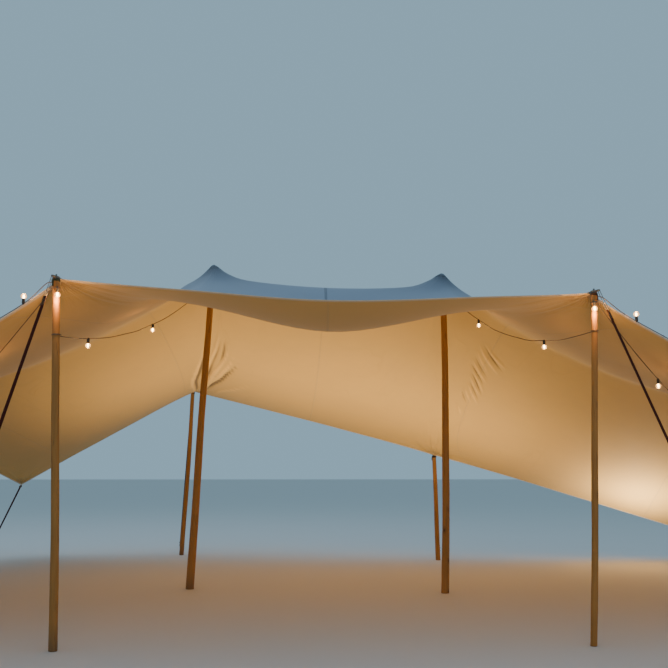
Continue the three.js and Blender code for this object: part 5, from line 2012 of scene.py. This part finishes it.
def pole_tie(name, centre, radius):
    """Thin cord wound round a pole to hold a cable there, with its two ends left loose."""
    points = []
    last = TIE_STEPS * TIE_TURNS
    for step in range(last + 1):
        angle = math.tau * step / TIE_STEPS
        loose = max(0, 4 - step, step - last + 4) / 4
        out = radius + TIE_END_OUT * loose**2
        rise = (step / last - 0.5) * TIE_TURNS * TIE_PITCH - TIE_END_DROP * loose**2
        points.append(centre + Vector((out * math.cos(angle), out * math.sin(angle), rise)))
    return cable_mesh(name, points, TIE_ROD)


def pole_wrap(name, centre, pole_radius_there, swag, heading):
    """The cable's way round its first pole to the lamp that hangs from its free end."""
    wrap_radius = pole_radius_there + POLE_WRAP_GAP
    start = math.radians(swag["pole_lamp_angle"])
    full_turn = 0 if heading.x > 0 else math.tau
    sweep = math.atan2(heading.y, heading.x) - start - full_turn
    points = []
    for step in range(POLE_WRAP_STEPS + 1):
        share = step / POLE_WRAP_STEPS
        angle = start + sweep * share
        radius = wrap_radius + (POLE_LAMP_GAP - POLE_WRAP_GAP) * (1 - share) ** 3
        points.append(centre + Vector((math.cos(angle), math.sin(angle), 0)) * radius)
    fine = smooth_line(points, POLE_WRAP_STEP)[0]
    return cable_mesh(name, fine), points[0]


def make_swag(name, swag):
    """A free lamp cable between two poles, made as a curve with its lamps and ties on it."""
    route, length = smooth_line(swag["points"][1:-1], CABLE_STEP)
    heading = level_direction(swag["points"][0], swag["points"][-1])
    points = [Vector(swag["points"][0]), *route, Vector(swag["points"][-1])]
    cable = make_cable(f"{name}_lamp_cable", points)
    ready(cable, [f"{name}_lamp_string"], "lamp_string", CABLE_BLACK)
    carried = []
    ends = []
    for end, point in (("from", points[0]), ("to", points[-1])):
        pole = swag[end]
        support = {**EDGE_POLES, **CENTRE_POLES}[pole]
        top = pole_top(support, f"{pole}_pole")
        centre = pole_axis_at(support, top, point.z)
        radius = pole_radius(support, top, point.z)
        ends.append((centre, radius))
        tie = pole_tie(f"{name}_{end}_tie", centre, radius + TIE_GAP)
        carried.append(ready(tie, [], "lamp_string", CABLE_BLACK))
    spots = lamp_spots(route, length, swag["first_lamp"], swag["lamp_spacing"], SWAG_END_ROOM)
    if "pole_lamp_angle" in swag:
        wrap, lamp_spot = pole_wrap(f"{name}_pole_wrap", *ends[0], swag, heading)
        carried.append(ready(wrap, [], "lamp_string", CABLE_BLACK))
        carried += lamps_at(f"{name}_pole", [lamp_spot], False)
        away = (lamp_spot - ends[0][0]).normalized()
        light_place = lamp_spot + away * POLE_LIGHT_REACH + Vector((0, 0, -POLE_LIGHT_DROP))
        light_lamp(light_place, POLE_LAMP_POWER)
    carried += lamps_at(name, spots, False)


def rim_clip(rim_point, cable_point):
    """An oval clip round the cable and the cloth's rim."""
    clip = add_ring("clip", CLIP_RADIUS, CLIP_ROD, 0, 28, 8)
    size_whole(clip, 1.25, 0.62, 1)
    keep_made(clip)
    middle = rim_point.lerp(cable_point, 0.5) + Vector((0, CLIP_SHIFT, 0))
    clip.data.transform(frame_along(middle, (0, -1, 0)) @ Matrix.Rotation(math.radians(90), 4, "X"))
    return clip


def make_rim_string(name, rim, cloth):
    """A lamp cable clipped along the front rim, with its lamps standing up."""
    pole = EDGE_POLES[rim["from"]]
    top = pole_top(pole, f"{rim['from']}_pole")
    height = top.z - RIM_CABLE_DROP
    side = Vector((rim["turn"], 0, 0))
    start = pole_axis_at(pole, top, height) + side * (pole_radius(pole, top, height) + RIM_CABLE_GAP)
    net_columns = even_stations(COLUMN_STOPS, COLUMN_COUNTS)
    first = nearest(net_columns, pole["cloth"][0]) + rim["turn"]
    last = nearest(net_columns, rim["end"])
    rim_points = []
    for column in range(first, last + rim["turn"], rim["turn"]):
        rim_points.append(cloth.at(net_columns[column], 0))
    cable_points = [point + Vector((0, -RIM_CABLE_OFFSET, 0)) for point in rim_points]
    route, length = smooth_line([start, start + side * CABLE_LEAD, *cable_points], RIM_CABLE_STEP)
    cable = cable_mesh(f"{name}_lamp_cable", route)
    ready(cable, [f"{name}_lamp_string"], "lamp_string", CABLE_BLACK)
    lamps_at(name, lamp_spots(route, length, rim["first_lamp"], LAMP_SPACING, RIM_END_ROOM), True)
    clips = [rim_clip(*points) for points in zip(rim_points, cable_points)]
    clips = join(f"{name}_lamp_clips", clips)
    smooth(clips, 60)
    ready(clips, [], "lamp_string", HOLDER_BLACK)


def make_fittings(name, support, turn):
    """The pin on an edge pole, and over it the plate on the cloth's edge with the guy's link."""
    hold = Vector(support["hold"])
    outward = level_direction(hold, support["stake"])
    pin_place = hold + outward * PIN_REACH
    pin_place.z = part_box(f"{name}_pole_pin")[1][2] - PIN_OVER_PLATE - PLATE_THICKNESS - PIN_GAP
    pin = place_copy(PIN_MODEL, f"{name}_pole_pin_steel", Matrix.Translation(pin_place))
    shift_made(pin, (turn, 0, 0))
    ready(pin, [f"{name}_pole_pin"], "steel", STEEL)
    plate = place_copy(PLATE_MODEL, f"{name}_edge_plate_steel", frame_along(hold, outward))
    lug = hold + outward * LUG_REACH
    link = place_copy(LINK_MODEL, f"{name}_link", frame_along(lug, strap_end(support) - lug))
    plate = join(f"{name}_edge_plate_steel", [plate, link])
    shift_made(plate, (turn, 1, 0))
    ready(plate, [f"{name}_edge_plate"], "steel", STEEL)


def make_tails(name, support, cloth):
    """The webbing tails that are sewn to the cloth at an edge pole."""
    tail = cloth.tail_strips(f"{name}_sewn_tails", support)
    smooth(tail, 50)
    return ready(tail, [], "webbing", SEWN_SAND)


def make_pad(name, support):
    """The pad on a centre pole, under the cloth's peak."""
    x, y, _ = pole_top(support, f"{name}_pole")
    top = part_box(f"{name}_pole_pad")[1][2]
    pad = place_copy(PAD_MODEL, f"{name}_pole_pad_rubber", Matrix.Translation((x, y, top)))
    ready(pad, [f"{name}_pole_pad"], "pole_pad", PAD_RUBBER)


def make_stake(name, support, turn):
    stake = place_copy(STAKE_MODEL, f"{name}_stake_steel", Matrix.Translation(support["stake"]))
    shift_made(stake, (turn, 2, 0))
    ready(stake, [f"{name}_stake"], "steel", STAKE_STEEL)


def make_camera():
    data = bpy.data.cameras.new("camera")
    data.lens = CAMERA_LENS
    data.sensor_width = CAMERA_SENSOR
    camera = put_in_scene("camera", data)
    camera.location = CAMERA_PLACE
    camera.rotation_euler = (math.radians(90 + CAMERA_TIP_UP), 0, math.radians(-CAMERA_TURN_RIGHT))
    bpy.context.scene.camera = camera


def make_floor():
    bpy.ops.mesh.primitive_plane_add(size=400, location=(0, 0, 0))
    floor = keep_newest("floor")
    floor.data.materials.append(floor_finish())


def add_light(name, place, target, size, power, colour, spread):
    data = bpy.data.lights.new(name, "AREA")
    data.shape = "RECTANGLE"
    data.size, data.size_y = size
    data.energy = power
    data.color = colour
    data.spread = math.radians(spread)
    light = put_in_scene(name, data)
    light.location = place
    light.rotation_euler = (Vector(target) - Vector(place)).to_track_quat("-Z", "Y").to_euler()
    light.visible_camera = False


def light_lamp(place, power):
    """The light that a lamp throws on what is round it."""
    data = bpy.data.lights.new("lamp light", "POINT")
    data.energy = power
    data.color = LAMP_GLOW[:3]
    data.shadow_soft_size = LAMP_LIGHT_RADIUS
    light = put_in_scene(data.name, data)
    light.location = place
    light.visible_camera = False


def light_studio():
    """Blue evening light all round, warm lights low under and before the cloth, and a pale one overhead."""
    world = bpy.data.worlds.new("studio")
    world.use_nodes = True
    background = world.node_tree.nodes["Background"]
    background.inputs["Color"].default_value = EVENING_BLUE
    background.inputs["Strength"].default_value = EVENING_STRENGTH
    bpy.context.scene.world = world
    for light in STUDIO_LIGHTS:
        add_light(*light)


make_camera()
SAND = cloth_finish("sand knit under side", SAND_UNDER, False)
OUTER_KNIT_PAINTED_DUSK = cloth_finish("outer side knit, grey coating with painted dusk light", OUTER_GREY_AND_PAINTED_DUSK, True)
HEM = hem_finish()
TIMBER = timber_finish()
STEEL = steel_finish("galvanised steel", 0.0)
STAKE_STEEL = steel_finish("driven steel", 0.24)
MAROON = webbing_finish("maroon webbing", WEBBING_MAROON)
GREEN = webbing_finish("green webbing", WEBBING_GREEN)
BROWN = webbing_finish("brown webbing", WEBBING_BROWN)
SEWN_SAND = webbing_finish("sand webbing", WEBBING_SAND)
PAD_RUBBER = black_finish("pad rubber", Finish.made_place, 0.5, 0.35)
HOLDER_BLACK = black_finish("lamp holder", Finish.made_place, 0.32, 0.2)
CABLE_BLACK = black_finish("cable", Finish.object_place, 0.38, 0.25, CABLE_BRONZE)
BULB_GLASS = glass_finish()
GLOW = glow_finish()

LAMP_MODELS = model_lamp_parts()
for name, swag in SWAGS.items():
    make_swag(name, swag)

cloth = Cloth()
canopy = ready(cloth.canopy(), ["canopy"], "canopy_cloth", SAND, OUTER_KNIT_PAINTED_DUSK, HEM)
smooth(canopy, 55)
for name, rim in RIMS.items():
    make_rim_string(name, rim, cloth)

PIN_MODEL = model_pin()
PLATE_MODEL = model_plate()
LINK_MODEL = model_link()
STAKE_MODEL = model_stake()
PAD_MODEL = model_pad()
for turn, (name, support) in enumerate(EDGE_POLES.items()):
    make_pole(name, support, turn)
    make_fittings(name, support, turn)
    make_guy(name, support, MAROON)
    make_binding(name, support, turn, GREEN if name == "front_left" else BROWN)
    make_tails(name, support, cloth)
for turn, (name, support) in enumerate(CENTRE_POLES.items()):
    make_pole(name, support, turn + len(EDGE_POLES))
    make_pad(name, support)
for name, support in CORNERS.items():
    make_corner_strap(name, support, MAROON)
for turn, (name, support) in enumerate({**EDGE_POLES, **CORNERS}.items()):
    make_stake(name, support, turn)
for model in (PIN_MODEL, PLATE_MODEL, LINK_MODEL, STAKE_MODEL, PAD_MODEL, *LAMP_MODELS):
    bpy.data.objects.remove(model)

make_floor()
light_studio()
